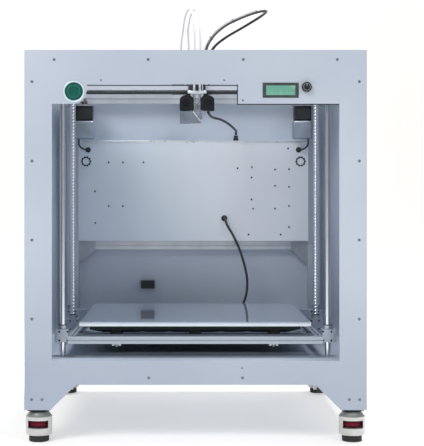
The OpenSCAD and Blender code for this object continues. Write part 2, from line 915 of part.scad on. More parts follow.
module bed_plate() {
  color("#3a4148")
    block([-bed_width / 2, bed_mid_y - bed_depth / 2, plate_bottom],
          [bed_width / 2, bed_mid_y + bed_depth / 2, plate_bottom + plate_thick]);
}

module bed_glass() {
  color("#9fb2c3")
    block([-bed_width / 2, bed_mid_y - bed_depth / 2, bed_top - glass_thick],
          [bed_width / 2, bed_mid_y + bed_depth / 2, bed_top]);
}

// Studs, dark spacers and wing nuts under the plate
module bed_levellers() {
  for (y = level_ys) {
    for (x = [-level_x, level_x]) {
      color("#c8ccd1") {
        rod_up(x, y, 238, plate_bottom, 2.5);
        rod_up(x, y, 244, 254.5, 6);
        block([x - 13, y - 1.5, 240], [x + 13, y + 1.5, 252]);
      }
    }
    color("#1a1c1f")
      for (x = [-level_x, 0, level_x])
        block([x - 17, y - 12, arm_z + 10.1], [x + 17, y + 12, plate_bottom]);
  }
}

// ---------- hoses and cables ----------

// Width, depth behind the front sheet, height
filament_route = [[8, 416, 987], [8, 417, 1050], [10, 425, 1110], [9, 450, 1170], [4, 500, 1222],
                  [-4, 570, 1248], [-12, 660, 1256], [-20, 750, 1248], [-26, 830, 1218],
                  [-28, 890, 1170], [-28, 922, 1110], [-28, 928, 1062]];
function tube_offset(side, q) =
  [q[0] + side * (q[2] < 1062.5 && q[1] > 900 ? 23
                  : q[1] > 880 ? 13 : 8.5), q[1], q[2]];
module filament_tubes() {
  color("#eceff1")
    for (s = [left, right])
      swept_tube(smooth_route(placed([for (q = filament_route) tube_offset(s, q)]), 3), 3, 8);
}

overhead_route = [[30, 430, 977.2], [30, 430, 1040], [36, 440, 1105], [58, 470, 1150],
                  [95, 505, 1187], [140, 545, 1215], [190, 590, 1240], [224, 630, 1253],
                  [232, 675, 1255], [212, 725, 1245], [165, 775, 1222], [105, 825, 1192],
                  [66, 860, 1160], [52, 868, 1110], [51, 862, 1060], [51, 860, 1019]];
lower_route = [[42, 437, 916], [50, 480, 908], [60, 530, 906], [80, 580, 905], [98, 630, 901],
               [115, 690, 895], [130, 750, 888], [140, 810, 884], [144, 850, 882], [144, 870, 873]];
module head_cables() {
  color("#121417") {
    swept_tube(smooth_route(placed(overhead_route), 3), 4, 10);
    swept_tube(smooth_route(placed(lower_route), 3), 4, 10);
  }
}

bed_cable_route = [[104, 842, 590], [106, 828, 588], [114, 815, 565], [134, 805, 530],
                   [152, 800, 490], [168, 795, 440], [178, 790, 390], [176, 785, 345],
                   [166, 780, 312], [155, 773, 295], [154, 769, 287]];
module bed_cable() {
  color("#121417")
    swept_tube(smooth_route(placed(bed_cable_route), 4), 4, 10);
}

// ---------- casters ----------

module at_corner(side, end) {
  y = end < 0 ? front_y + caster_in : rear_y - caster_in;
  translate([side * caster_x, y, 0])
    mirror([0, end < 0 ? 0 : 1, 0])
      children();
}

module caster_plates() {
  for (s = [left, right], e = [front, rear])
    at_corner(s, e)
      difference() {
        union() {
          color("#8e949b")
            block([-32, -32, leg_bottom], [32, 32, plate_z]);
          color("#141619")
            rod_up(0, 0, 80.3, leg_bottom + eps, 23.5);
        }
        rod_up(0, 0, 80, plate_z + 1, 10 + running);
      }
}

web_low = 28;
web_high = 37;
window_high = 58;
module caster_housing() {
  axle_z = roller_r + 5;
  color("#c6beba")
    difference() {
      union() {
        rotate_extrude($fn = 64)
          polygon([[0, 18], [32.5, 18], [drum_r, 22], [drum_r, 68], [31, 73], [26, 80], [0, 80]]);
        rod_up(0, 0, 80 - eps, 93.5, 10);
        block([-19, 0, 20], [19, caster_trail, 60]);
        rod_along_x(-19, 19, caster_trail, 38, 22);
      }
      // Pad recess, dial room, window and the roller's slot
      rod_up(0, 0, 17, web_low, pad_r + 1);
      rod_up(0, 0, web_low - 1, web_high + 1, 7 + running);
      rod_up(0, 0, web_high, 64, 27);
      block([-27, -drum_r - 1, web_high], [27, 0, window_high]);
      block([-9.5, 27.5, -1], [9.5, caster_trail + 24, 52]);
    }
  color("#9a9fa6")
    rod_along_x(-18, 18, caster_trail, axle_z, 4);
}

module caster_roller() {
  axle_z = roller_r + 5;
  color("#2a2c2f")
    difference() {
      rod_along_x(-8.8, 8.8, caster_trail, axle_z, roller_r);
      rod_along_x(-10, 10, caster_trail, axle_z, 4 + running);
    }
}

module caster_foot() {
  color("#15171a")
    rotate_extrude($fn = 64)
      polygon([[0, 0], [25.5, 0], [pad_r, 1.5], [pad_r, 15], [pad_r - 3, 18], [0, 18]]);
  color("#5a1522") {
    rod_up(0, 0, 18 - eps, 41 + eps, 7);
    rod_up(0, 0, 41, 54, 26);
  }
}

module caster_housing_front_left() { at_corner(left, front) caster_housing(); }
module caster_housing_front_right() { at_corner(right, front) caster_housing(); }
module caster_housing_rear_left() { at_corner(left, rear) caster_housing(); }
module caster_housing_rear_right() { at_corner(right, rear) caster_housing(); }
module caster_roller_front_left() { at_corner(left, front) caster_roller(); }
module caster_roller_front_right() { at_corner(right, front) caster_roller(); }
module caster_roller_rear_left() { at_corner(left, rear) caster_roller(); }
module caster_roller_rear_right() { at_corner(right, rear) caster_roller(); }
module caster_foot_front_left() { at_corner(left, front) caster_foot(); }
module caster_foot_front_right() { at_corner(right, front) caster_foot(); }
module caster_foot_rear_left() { at_corner(left, rear) caster_foot(); }
module caster_foot_rear_right() { at_corner(right, rear) caster_foot(); }

// ---------- nodes ----------

front_panel();
side_panel_left();
side_panel_right();
rear_panel();
floor_panel();
frame_profiles();
corner_brackets();
electronics_cover();
corner_badge();
display_module();
power_inlet();
power_supply();
control_board();
y_rails();
stepper_motors();
y_belts();
z_guide_rods();
panel_screws();
filament_feeders();
motor_leads();
caster_plates();
encoder_shaft();
encoder_knob();
power_rocker();
y_pulley_left();
y_pulley_right();
y_idler_left();
y_idler_right();
z_screw_left();
z_screw_right();
gantry_beam();
gantry_end_blocks();
x_motor();
x_belt();
x_pulley();
x_idler();
head_carriage();
hot_ends();
blowers();
blower_rotor_left();
blower_rotor_right();
bed_frame();
bed_plate();
bed_glass();
bed_levellers();
filament_tubes();
head_cables();
bed_cable();
caster_housing_front_left();
caster_housing_front_right();
caster_housing_rear_left();
caster_housing_rear_right();
caster_roller_front_left();
caster_roller_front_right();
caster_roller_rear_left();
caster_roller_rear_right();
caster_foot_front_left();
caster_foot_front_right();
caster_foot_rear_left();
caster_foot_rear_right();
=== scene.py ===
import math
import random

import bmesh
import bpy
from mathutils import Matrix, Vector


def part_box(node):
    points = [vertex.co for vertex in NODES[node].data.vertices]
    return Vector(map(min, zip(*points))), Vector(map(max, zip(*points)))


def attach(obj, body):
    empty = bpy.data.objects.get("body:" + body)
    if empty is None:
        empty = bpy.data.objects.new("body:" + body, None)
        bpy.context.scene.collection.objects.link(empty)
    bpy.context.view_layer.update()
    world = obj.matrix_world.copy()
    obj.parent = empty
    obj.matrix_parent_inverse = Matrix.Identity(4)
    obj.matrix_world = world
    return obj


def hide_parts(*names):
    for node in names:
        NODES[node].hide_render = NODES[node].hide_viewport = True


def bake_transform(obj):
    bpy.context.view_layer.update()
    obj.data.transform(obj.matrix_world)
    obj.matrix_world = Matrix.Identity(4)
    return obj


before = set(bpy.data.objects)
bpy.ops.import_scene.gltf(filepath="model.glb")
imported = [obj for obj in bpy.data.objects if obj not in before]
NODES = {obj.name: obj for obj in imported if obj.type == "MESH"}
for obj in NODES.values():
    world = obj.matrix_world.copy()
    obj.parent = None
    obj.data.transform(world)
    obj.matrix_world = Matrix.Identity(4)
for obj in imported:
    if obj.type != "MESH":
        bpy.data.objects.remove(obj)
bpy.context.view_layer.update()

MM = 0.001
FRONT_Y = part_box("front_panel")[0].y
REAR_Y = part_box("rear_panel")[1].y
COVER_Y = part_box("electronics_cover")[0].y
TURN = 2 * math.pi
SIDES = ((-1, "left"), (1, "right"))
CORNERS = ("front_left", "front_right", "rear_left", "rear_right")


def mm(x, y, z):
    """Point given in millimetres."""
    return Vector((x * MM, y * MM, z * MM))


def at(x, depth, z):
    """Point given as width, depth behind the front sheet and height, in millimetres."""
    return Vector((x * MM, FRONT_Y + depth * MM, z * MM))


def on(y, x, z):
    """Point on the sheet at y, with its width and height in millimetres."""
    return Vector((x * MM, y, z * MM))


def centre(node):
    low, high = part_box(node)
    return (low + high) / 2


def under(node):
    """Point on the floor under the middle of a node."""
    mid = centre(node)
    return Vector((mid.x, mid.y, 0))


def by_head(x, depth, z):
    """Point given like at(), with its width from the middle of the head."""
    return at(0, depth, z) + Vector((centre("hot_ends").x + x * MM, 0, 0))


# ---------- camera, lights and floor ----------

FOCAL_PX = 1220
FRAME_PX = 446
CAMERA_BACK = 3.257
CAMERA_HEIGHT = 0.641
CAMERA_SIDE = -0.030
SENSOR = 36
SHIFT_X = 0.0619
SHIFT_Y = -0.0448


def make_camera():
    data = bpy.data.cameras.new("camera")
    data.sensor_width = SENSOR
    data.lens = FOCAL_PX * SENSOR / FRAME_PX
    data.shift_x = SHIFT_X
    data.shift_y = SHIFT_Y
    data.clip_end = 60
    camera = bpy.data.objects.new("camera", data)
    bpy.context.collection.objects.link(camera)
    camera.location = (CAMERA_SIDE, FRONT_Y - CAMERA_BACK, CAMERA_HEIGHT)
    camera.rotation_euler = (math.pi / 2, 0, 0)
    bpy.context.scene.camera = camera


def area_light(name, place, target, size, power):
    data = bpy.data.lights.new(name, "AREA")
    data.shape = "DISK"
    data.size = size
    data.energy = power
    lamp = bpy.data.objects.new(name, data)
    bpy.context.collection.objects.link(lamp)
    lamp.location = place
    lamp.rotation_euler = (Vector(target) - Vector(place)).to_track_quat("-Z", "Y").to_euler()


def make_lights():
    world = bpy.data.worlds.new("studio")
    bpy.context.scene.world = world
    world.use_nodes = True
    background = world.node_tree.nodes["Background"]
    background.inputs["Color"].default_value = (0.96, 0.98, 1.0, 1)
    # Seen directly the room is as pale as the floor; as light it is much weaker
    rays = world.node_tree.nodes.new("ShaderNodeLightPath")
    level = world.node_tree.nodes.new("ShaderNodeMapRange")
    level.inputs["To Min"].default_value = 0.36
    level.inputs["To Max"].default_value = 0.96
    world.node_tree.links.new(rays.outputs["Is Camera Ray"], level.inputs["Value"])
    world.node_tree.links.new(level.outputs["Result"], background.inputs["Strength"])
    area_light("key", (-2.2, -3.6, 3.6), (0, 0, 0.9), 2.2, 108)
    area_light("fill", (2.6, -3.4, 2.6), (0, 0, 0.8), 2.4, 32)
    area_light("top", (0.4, 0.5, 3.2), (0.1, 0.3, 0.6), 1.5, 104)
    bpy.context.scene.view_settings.view_transform = "Standard"


def make_floor():
    """Pale floor that curves up into a backdrop far behind the object."""
    half, near, bend, radius = 24, -24, 4, 2.5
    line = [(near, 0.0), (bend, 0.0)]
    for i in range(1, 13):
        a = math.pi / 2 * i / 12
        line.append((bend + radius * math.sin(a), radius * (1 - math.cos(a))))
    line.append((bend + radius, 7))
    mesh = bpy.data.meshes.new("floor")
    verts = [(x, y, z) for y, z in line for x in (-half, half)]
    faces = [(2 * i, 2 * i + 1, 2 * i + 3, 2 * i + 2) for i in range(len(line) - 1)]
    mesh.from_pydata(verts, [], faces)
    for face in mesh.polygons:
        face.use_smooth = True
    floor = bpy.data.objects.new("floor", mesh)
    bpy.context.collection.objects.link(floor)
    white = surface("floor_white", (0.91, 0.90, 0.88), (0.93, 0.92, 0.90), scale=2, rough=0.9)
    glow(white, (1, 0.985, 0.965, 1), 0.36)
    floor.data.materials.append(white)


# ---------- materials ----------

def surface(name, dark, light, scale=30, rough=0.5, rough_swing=0.08, metal=0.0, bump=0.0,
            stretch=(1, 1, 1), coat=0.0, grain_scale=None, through=0.0, alpha=1.0,
            specular=0.5):
    """Principled material whose colour, roughness and fine relief come from noise."""
    made = bpy.data.materials.new(name)
    made.use_nodes = True
    tree = made.node_tree
    shader = tree.nodes["Principled BSDF"]
    shader.inputs["Metallic"].default_value = metal
    shader.inputs["Coat Weight"].default_value = coat
    shader.inputs["Transmission Weight"].default_value = through
    shader.inputs["Alpha"].default_value = alpha
    shader.inputs["Specular IOR Level"].default_value = specular
    coords = tree.nodes.new("ShaderNodeTexCoord")
    mapping = tree.nodes.new("ShaderNodeMapping")
    mapping.inputs["Scale"].default_value = stretch
    tree.links.new(coords.outputs["Object"], mapping.inputs["Vector"])
    noise = tree.nodes.new("ShaderNodeTexNoise")
    noise.inputs["Scale"].default_value = scale
    noise.inputs["Detail"].default_value = 4
    tree.links.new(mapping.outputs["Vector"], noise.inputs["Vector"])
    ramp = tree.nodes.new("ShaderNodeValToRGB")
    ramp.color_ramp.elements[0].position = 0.3
    ramp.color_ramp.elements[0].color = (*dark, 1)
    ramp.color_ramp.elements[1].position = 0.7
    ramp.color_ramp.elements[1].color = (*light, 1)
    tree.links.new(noise.outputs["Fac"], ramp.inputs["Fac"])
    tree.links.new(ramp.outputs["Color"], shader.inputs["Base Color"])
    spread = tree.nodes.new("ShaderNodeMapRange")
    spread.inputs["To Min"].default_value = max(rough - rough_swing, 0.02)
    spread.inputs["To Max"].default_value = min(rough + rough_swing, 1.0)
    tree.links.new(noise.outputs["Fac"], spread.inputs["Value"])
    tree.links.new(spread.outputs["Result"], shader.inputs["Roughness"])
    if bump:
        grain = tree.nodes.new("ShaderNodeTexNoise")
        grain.inputs["Scale"].default_value = grain_scale or scale * 12
        grain.inputs["Detail"].default_value = 3
        tree.links.new(mapping.outputs["Vector"], grain.inputs["Vector"])
        relief = tree.nodes.new("ShaderNodeBump")
        relief.inputs["Strength"].default_value = bump
        relief.inputs["Distance"].default_value = 0.0006
        tree.links.new(grain.outputs["Fac"], relief.inputs["Height"])
        tree.links.new(relief.outputs["Normal"], shader.inputs["Normal"])
    return made


def glow(made, colour, strength):
    inputs = made.node_tree.nodes["Principled BSDF"].inputs
    inputs["Emission Color"].default_value = colour
    inputs["Emission Strength"].default_value = strength


def make_materials():
    m = {}
    m["sheet"] = surface("silver_coat", (0.47, 0.53, 0.63), (0.58, 0.63, 0.71), scale=1.4,
                         rough=0.40, metal=0.35, bump=0.12, grain_scale=900)
    # Copy of the sheet coat that is darker towards the bottom: painted shade where less light
    # falls on the lower panel.
    m["front"] = surface("silver_coat_front_painted_shade", (0.47, 0.53, 0.63), (0.58, 0.63, 0.71), scale=1.4,
                         rough=0.40, metal=0.35, bump=0.12, grain_scale=900)
    paint_shade_gradient(m["front"], "Z", 0.12, 0.62, (0.66, 0.68, 0.72))
    # Brighter than the outer sheet: painted light for the strong light inside the cabinet; darker
    # towards the left by a painted shade gradient.
    m["cover"] = surface("cover_coat_painted_light_and_shade", (0.72, 0.76, 0.82), (0.84, 0.87, 0.91), scale=1.3,
                         rough=0.42, metal=0.25, bump=0.12, grain_scale=900)
    paint_shade_gradient(m["cover"], "X", -0.30, 0.18, (0.78, 0.85, 0.90))
    m["inner"] = surface("inner_coat", (0.36, 0.42, 0.51), (0.44, 0.50, 0.59), scale=2,
                         rough=0.42, metal=0.35, bump=0.12, grain_scale=900)
    m["profile"] = surface("anodised", (0.52, 0.56, 0.62), (0.64, 0.68, 0.74), scale=14,
                           rough=0.32, metal=0.75, bump=0.08, stretch=(1, 1, 0.15))
    m["profile_x"] = surface("anodised_across", (0.34, 0.39, 0.46), (0.44, 0.49, 0.56), scale=14,
                             rough=0.3, metal=0.7, bump=0.08, stretch=(0.1, 1, 1))
    m["bracket"] = surface("machined_plate", (0.34, 0.37, 0.41), (0.46, 0.49, 0.54), scale=26,
                           rough=0.38, metal=0.8, bump=0.15)
    m["steel"] = surface("ground_steel", (0.66, 0.68, 0.71), (0.80, 0.82, 0.85), scale=40,
                         rough=0.16, rough_swing=0.05, metal=1.0, bump=0.05, stretch=(1, 1, 0.1))
    m["zinc"] = surface("zinc_plate", (0.50, 0.53, 0.57), (0.66, 0.69, 0.73), scale=120,
                        rough=0.3, metal=0.9, bump=0.1)
    m["black"] = surface("moulded_black", (0.010, 0.012, 0.015), (0.022, 0.024, 0.028),
                         scale=60, rough=0.45, bump=0.2)
    m["gloss_black"] = surface("gloss_black", (0.005, 0.006, 0.008), (0.011, 0.013, 0.016),
                               scale=40, rough=0.24, coat=0.2)
    m["rubber"] = surface("rubber", (0.012, 0.013, 0.015), (0.028, 0.029, 0.032), scale=90,
                          rough=0.7, bump=0.35)
    m["tube"] = surface("milky_tube", (0.60, 0.58, 0.68), (0.68, 0.66, 0.75), scale=30,
                        rough=0.45, through=0.25, alpha=0.85)
    # Faint emission: painted light that makes the pale tubes glow.
    glow(m["tube"], (0.95, 0.94, 1.0, 1), 0.10)
    m["fan_black"] = surface("fan_black", (0.003, 0.004, 0.006), (0.009, 0.011, 0.014), scale=60,
                             rough=0.5, bump=0.2, specular=0.25)
    m["profile_beam"] = surface("anodised_beam", (0.72, 0.76, 0.82), (0.86, 0.89, 0.94), scale=14,
                                rough=0.26, metal=0.6, bump=0.08, stretch=(0.1, 1, 1))
    m["badge"] = surface("badge_green", (0.001, 0.060, 0.046), (0.002, 0.095, 0.074), scale=70,
                         rough=0.5, specular=0.2)
    m["badge_rim"] = surface("badge_rim", (0.56, 0.66, 0.73), (0.64, 0.73, 0.80), scale=90,
                             rough=0.35, metal=0.2)
    m["badge_line"] = surface("badge_line", (0.004, 0.12, 0.09), (0.01, 0.17, 0.13), scale=90,
                              rough=0.4)
    m["dark_screw"] = surface("dark_screw", (0.13, 0.15, 0.18), (0.24, 0.26, 0.30), scale=300,
                              rough=0.35, metal=0.8)
    m["bezel"] = surface("bezel_grey", (0.030, 0.042, 0.044), (0.055, 0.068, 0.070), scale=50,
                         rough=0.4, metal=0.3, bump=0.1)
    m["window"] = lcd_material()
    # Mirrors the rear wall; its name must differ from the CAD's own materials
    m["glass"] = surface("mirror_glass", (0.29, 0.36, 0.47), (0.33, 0.40, 0.51), scale=5,
                         rough=0.045, rough_swing=0.015, metal=0.3, coat=0.9)
    m["plate"] = surface("heated_plate", (0.62, 0.68, 0.75), (0.72, 0.78, 0.84), scale=20,
                         rough=0.32, metal=0.6, bump=0.1)
    m["heater_mat"] = surface("heater_mat", (0.010, 0.013, 0.018), (0.03, 0.034, 0.04), scale=40,
                              rough=0.7, bump=0.2)
    m["grey_cast"] = surface("caster_cast", (0.50, 0.50, 0.49), (0.62, 0.63, 0.61), scale=22,
                             rough=0.38, metal=0.35, bump=0.25, grain_scale=500, coat=0.15)
    darken_above(m["grey_cast"], 0.0665, 0.0685, (0.30, 0.32, 0.30))
    m["dial_red"] = surface("dial_red", (0.11, 0.004, 0.016), (0.20, 0.008, 0.030), scale=60,
                            rough=0.5, specular=0.2)
    m["brass"] = surface("brass", (0.45, 0.30, 0.12), (0.62, 0.44, 0.20), scale=90, rough=0.3,
                         metal=1.0, bump=0.1)
    m["duct"] = surface("duct_grey", (0.15, 0.18, 0.22), (0.22, 0.26, 0.31), scale=40,
                        rough=0.4, metal=0.5, bump=0.15)
    m["motor_cap"] = surface("motor_cap", (0.26, 0.31, 0.38), (0.34, 0.39, 0.46), scale=30,
                             rough=0.42, metal=0.55, bump=0.2)
    m["board"] = surface("board_green", (0.01, 0.09, 0.04), (0.02, 0.14, 0.06), scale=80,
                         rough=0.35, coat=0.3)
    m["light_plate"] = surface("light_plate", (0.62, 0.65, 0.69), (0.76, 0.79, 0.83), scale=50,
                               rough=0.3, metal=0.6, bump=0.1)
    return m


def along(tree, axis, low, high):
    """Range from 0 at low to 1 at high along an axis of the object."""
    coords = tree.nodes.new("ShaderNodeTexCoord")
    split = tree.nodes.new("ShaderNodeSeparateXYZ")
    rise = tree.nodes.new("ShaderNodeMapRange")
    rise.inputs["From Min"].default_value = low
    rise.inputs["From Max"].default_value = high
    tree.links.new(coords.outputs["Object"], split.inputs["Vector"])
    tree.links.new(split.outputs[axis], rise.inputs["Value"])
    return rise


def paint_shade_gradient(made, axis, low, high, shade_tint):
    """Slow painted shade across a large sheet, from shade_tint at low to full colour at high."""
    tree = made.node_tree
    shader = tree.nodes["Principled BSDF"]
    old = shader.inputs["Base Color"].links[0].from_socket
    rise = along(tree, axis, low, high)
    rise.interpolation_type = "SMOOTHSTEP"
    ramp = tree.nodes.new("ShaderNodeMix")
    ramp.data_type = "RGBA"
    ramp.inputs["A"].default_value = (*shade_tint, 1)
    ramp.inputs["B"].default_value = (1, 1, 1, 1)
    mix = tree.nodes.new("ShaderNodeMix")
    mix.data_type = "RGBA"
    mix.blend_type = "MULTIPLY"
    mix.inputs["Factor"].default_value = 1
    tree.links.new(rise.outputs["Result"], ramp.inputs["Factor"])
    tree.links.new(old, mix.inputs["A"])
    tree.links.new(ramp.outputs["Result"], mix.inputs["B"])
    tree.links.new(mix.outputs["Result"], shader.inputs["Base Color"])


def darken_above(made, low, high, colour):
    """The casting's turned shoulder, bare metal above a height."""
    tree = made.node_tree
    shader = tree.nodes["Principled BSDF"]
    old = shader.inputs["Base Color"].links[0].from_socket
    rise = along(tree, "Z", low, high)
    mix = tree.nodes.new("ShaderNodeMix")
    mix.data_type = "RGBA"
    mix.inputs["B"].default_value = (*colour, 1)
    tree.links.new(rise.outputs["Result"], mix.inputs["Factor"])
    tree.links.new(old, mix.inputs["A"])
    tree.links.new(mix.outputs["Result"], shader.inputs["Base Color"])


def lcd_material():
    """Backlit green display with its faint grid of blank characters."""
    made = surface("lcd_green", (0.09, 0.28, 0.20), (0.12, 0.32, 0.24), scale=25, rough=0.25,
                   coat=0.6)
    tree = made.node_tree
    shader = tree.nodes["Principled BSDF"]
    cells = tree.nodes.new("ShaderNodeTexBrick")
    cells.inputs["Scale"].default_value = 1.0
    cells.inputs["Brick Width"].default_value = 3.6 * MM
    cells.inputs["Row Height"].default_value = 5.6 * MM
    cells.inputs["Mortar Size"].default_value = 0.35 * MM
    cells.offset = 0
    cells.inputs["Color1"].default_value = (0.09, 0.27, 0.20, 1)
    cells.inputs["Color2"].default_value = (0.09, 0.27, 0.20, 1)
    cells.inputs["Mortar"].default_value = (0.12, 0.32, 0.24, 1)
    coords = tree.nodes.new("ShaderNodeTexCoord")
    turned = tree.nodes.new("ShaderNodeMapping")
    turned.inputs["Rotation"].default_value = (-math.pi / 2, 0, 0)
    tree.links.new(coords.outputs["Object"], turned.inputs["Vector"])
    tree.links.new(turned.outputs["Vector"], cells.inputs["Vector"])
    tree.links.new(cells.outputs["Color"], shader.inputs["Base Color"])
    tree.links.new(cells.outputs["Color"], shader.inputs["Emission Color"])
    shader.inputs["Emission Strength"].default_value = 0.25
    return made


# ---------- mesh helpers; sizes are in millimetres, places in metres ----------

def piece(name, bm, material, angle=35):
    """Object from a bmesh, shaded smooth but for its hard edges."""
    mesh = bpy.data.meshes.new(name)
    bm.normal_update()
    for face in bm.faces:
        face.smooth = True
    for edge in bm.edges:
        if len(edge.link_faces) == 2 and edge.calc_face_angle(0) > math.radians(angle):
            edge.smooth = False
    bm.to_mesh(mesh)
    bm.free()
    obj = bpy.data.objects.new(name, mesh)
    bpy.context.collection.objects.link(obj)
    mesh.materials.append(material)
    return obj


def fit(name, bm, material, body, slot=None, stands_for=None, **shading):
    """Piece that rides on a body and hides the CAD node it stands for; slot is not used."""
    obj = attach(piece(name, bm, material, **shading), body)
    if stands_for:
        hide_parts(stands_for)
    return obj


def outward(bm):
    bmesh.ops.recalc_face_normals(bm, faces=bm.faces)


def loft(bm, rings, caps=True):
    """Faces between closed rings of vertices, with a cap at each end."""
    for a, b in zip(rings, rings[1:]):
        for i in range(len(a)):
            j = (i + 1) % len(a)
            bm.faces.new((a[i], a[j], b[j], b[i]))
    if caps:
        bm.faces.new(rings[0])
        bm.faces.new(rings[-1])


def add_box(bm, place, one, other, bevel=0.0, segments=2):
    """Box between two corners, given from a place, with rounded edges."""
    a, b = Vector(place) + mm(*one), Vector(place) + mm(*other)
    low, high = Vector(map(min, a, b)), Vector(map(max, a, b))
    size = high - low
    made = bmesh.ops.create_cube(bm, size=1, matrix=Matrix.Translation((low + high) / 2)
                                 @ Matrix.Diagonal((*size, 1)))
    edges = list({e for v in made["verts"] for e in v.link_edges})
    bmesh.ops.bevel(bm, geom=edges, offset=min(bevel * MM, min(size) * 0.45),
                    segments=segments, affect="EDGES", profile=0.5)


def add_lathe(bm, outline, place, axis="Z", steps=48, flip=1):
    """Turned shape: outline is (radius, distance along the axis), from end to end."""
    turn = {"Z": Matrix.Identity(3),
            "Y": Matrix.Rotation(-math.pi / 2, 3, "X"),
            "X": Matrix.Rotation(math.pi / 2, 3, "Y")}[axis]
    rings = []
    for radius, along in outline:
        count = steps if radius else 1
        rings.append([bm.verts.new(Vector(place) + turn @ mm(
            radius * math.cos(TURN * i / steps), radius * math.sin(TURN * i / steps),
            flip * along)) for i in range(count)])
    for a, b in zip(rings, rings[1:]):
        for i in range(steps):
            j = (i + 1) % steps
            corners = [a[i % len(a)], a[j % len(a)], b[j % len(b)], b[i % len(b)]]
            distinct = list(dict.fromkeys(corners))
            if len(distinct) > 2:
                bm.faces.new(distinct)
    for ring in (rings[0], rings[-1]):
        if len(ring) > 1 and outline[0] != outline[-1]:
            bm.faces.new(ring)
    outward(bm)


def add_prism(bm, outline, low, high, place, axis="Z"):
    """Straight extrusion of an outline along an axis, from low to high."""
    turn = {"Z": Matrix.Identity(3), "Y": Matrix(((1, 0, 0), (0, 0, 1), (0, 1, 0)))}[axis]
    loft(bm, [[bm.verts.new(Vector(place) + turn @ mm(x, y, h)) for x, y in outline]
              for h in (low, high)])
    outward(bm)


def turned(name, outline, place, material, body, axis="Z", steps=48, flip=1, **roles):
    """Turned piece, riding on a body."""
    bm = bmesh.new()
    add_lathe(bm, outline, place, axis, steps, flip)
    return fit(name, bm, material, body, **roles)


def boxes(name, place, pairs, material, body, bevel, **roles):
    """Rounded boxes joined in one piece; pairs are corners, given from a place."""
    bm = bmesh.new()
    for one, other in pairs:
        add_box(bm, place, one, other, bevel)
    return fit(name, bm, material, body, **roles)


def gear_outline(radius, depth, teeth):
    """Outline of a knurled wheel: shallow ribs round a circle."""
    points = []
    for i in range(teeth):
        for part, r in ((0, radius), (0.4, radius), (0.5, radius - depth),
                        (0.95, radius - depth)):
            a = TURN * (i + part) / teeth
            points.append((r * math.cos(a), r * math.sin(a)))
    return points


def screw_head(bm, place, radius, height, axis="Y", flip=-1):
    """Button head with a recess for its key."""
    recess = radius * 0.42
    add_lathe(bm, [(radius, 0), (radius, height * 0.3), (radius * 0.93, height * 0.62),
                   (radius * 0.72, height * 0.9), (radius * 0.52, height), (recess, height),
                   (recess * 0.9, height * 0.25), (0, height * 0.2)], place, axis, 20, flip)


def paint(material, *nodes):
    for node in nodes:
        data = NODES[node].data
        data.materials.clear()
        data.materials.append(material)


# ---------- cords ----------

def smooth(points, steps):
    """Catmull-Rom curve through the points."""
    out = []
    for i in range(len(points) - 1):
        a, b = points[max(i - 1, 0)], points[i]
        c, d = points[i + 1], points[min(i + 2, len(points) - 1)]
        for s in range(steps):
            t = s / steps
            out.append(0.5 * (2 * b + (c - a) * t + (2 * a - 5 * b + 4 * c - d) * t * t
                              + (3 * b - a - 3 * c + d) * t * t * t))
    return out + [points[-1]]


def tube(name, points, radius, material, sides=14):
    """Round tube along the points; its UV map runs along it in metres."""
    bm = bmesh.new()
    uv = bm.loops.layers.uv.new("along")
    rings, along, side = [], [0.0], None
    for i, p in enumerate(points):
        ahead = points[min(i + 1, len(points) - 1)] - points[max(i - 1, 0)]
        ahead.normalize()
        if side is None:
            side = ahead.orthogonal()
        side = (side - ahead * side.dot(ahead)).normalized()
        up = ahead.cross(side)
        rings.append([bm.verts.new(p + radius * (math.cos(TURN * k / sides) * side
                                                 + math.sin(TURN * k / sides) * up))
                      for k in range(sides)])
        if i:
            along.append(along[-1] + (p - points[i - 1]).length)
    for i in range(len(rings) - 1):
        for k in range(sides):
            j = (k + 1) % sides
            face = bm.faces.new((rings[i][k], rings[i][j], rings[i + 1][j], rings[i + 1][k]))
            spots = ((k, i), (k + 1, i), (k + 1, i + 1), (k, i + 1))
            for loop, (turn_step, ring) in zip(face.loops, spots):
                loop[uv].uv = (turn_step / sides * TURN * radius, along[ring])
    bm.faces.new(rings[0][::-1])
    bm.faces.new(rings[-1])
    return piece(name, bm, material, angle=60)


def sheath(name, colour, light, rough, pitch, angle, bump):
    """Cable material with a spiral wrap that follows the tube's own UV map."""
    made = surface(name, colour, light, scale=120, rough=rough)
    tree = made.node_tree
    uv = tree.nodes.new("ShaderNodeUVMap")
    uv.uv_map = "along"
    turned = tree.nodes.new("ShaderNodeMapping")
    turned.inputs["Rotation"].default_value = (0, 0, math.radians(angle))
    wave = tree.nodes.new("ShaderNodeTexWave")
    wave.inputs["Scale"].default_value = 0.314 / pitch
    wave.bands_direction = "Y"
    relief = tree.nodes.new("ShaderNodeBump")
    relief.inputs["Strength"].default_value = bump
    relief.inputs["Distance"].default_value = 0.0004
    tree.links.new(uv.outputs["UV"], turned.inputs["Vector"])
    tree.links.new(turned.outputs["Vector"], wave.inputs["Vector"])
    tree.links.new(wave.outputs["Fac"], relief.inputs["Height"])
    tree.links.new(relief.outputs["Normal"], tree.nodes["Principled BSDF"].inputs["Normal"])
    return made


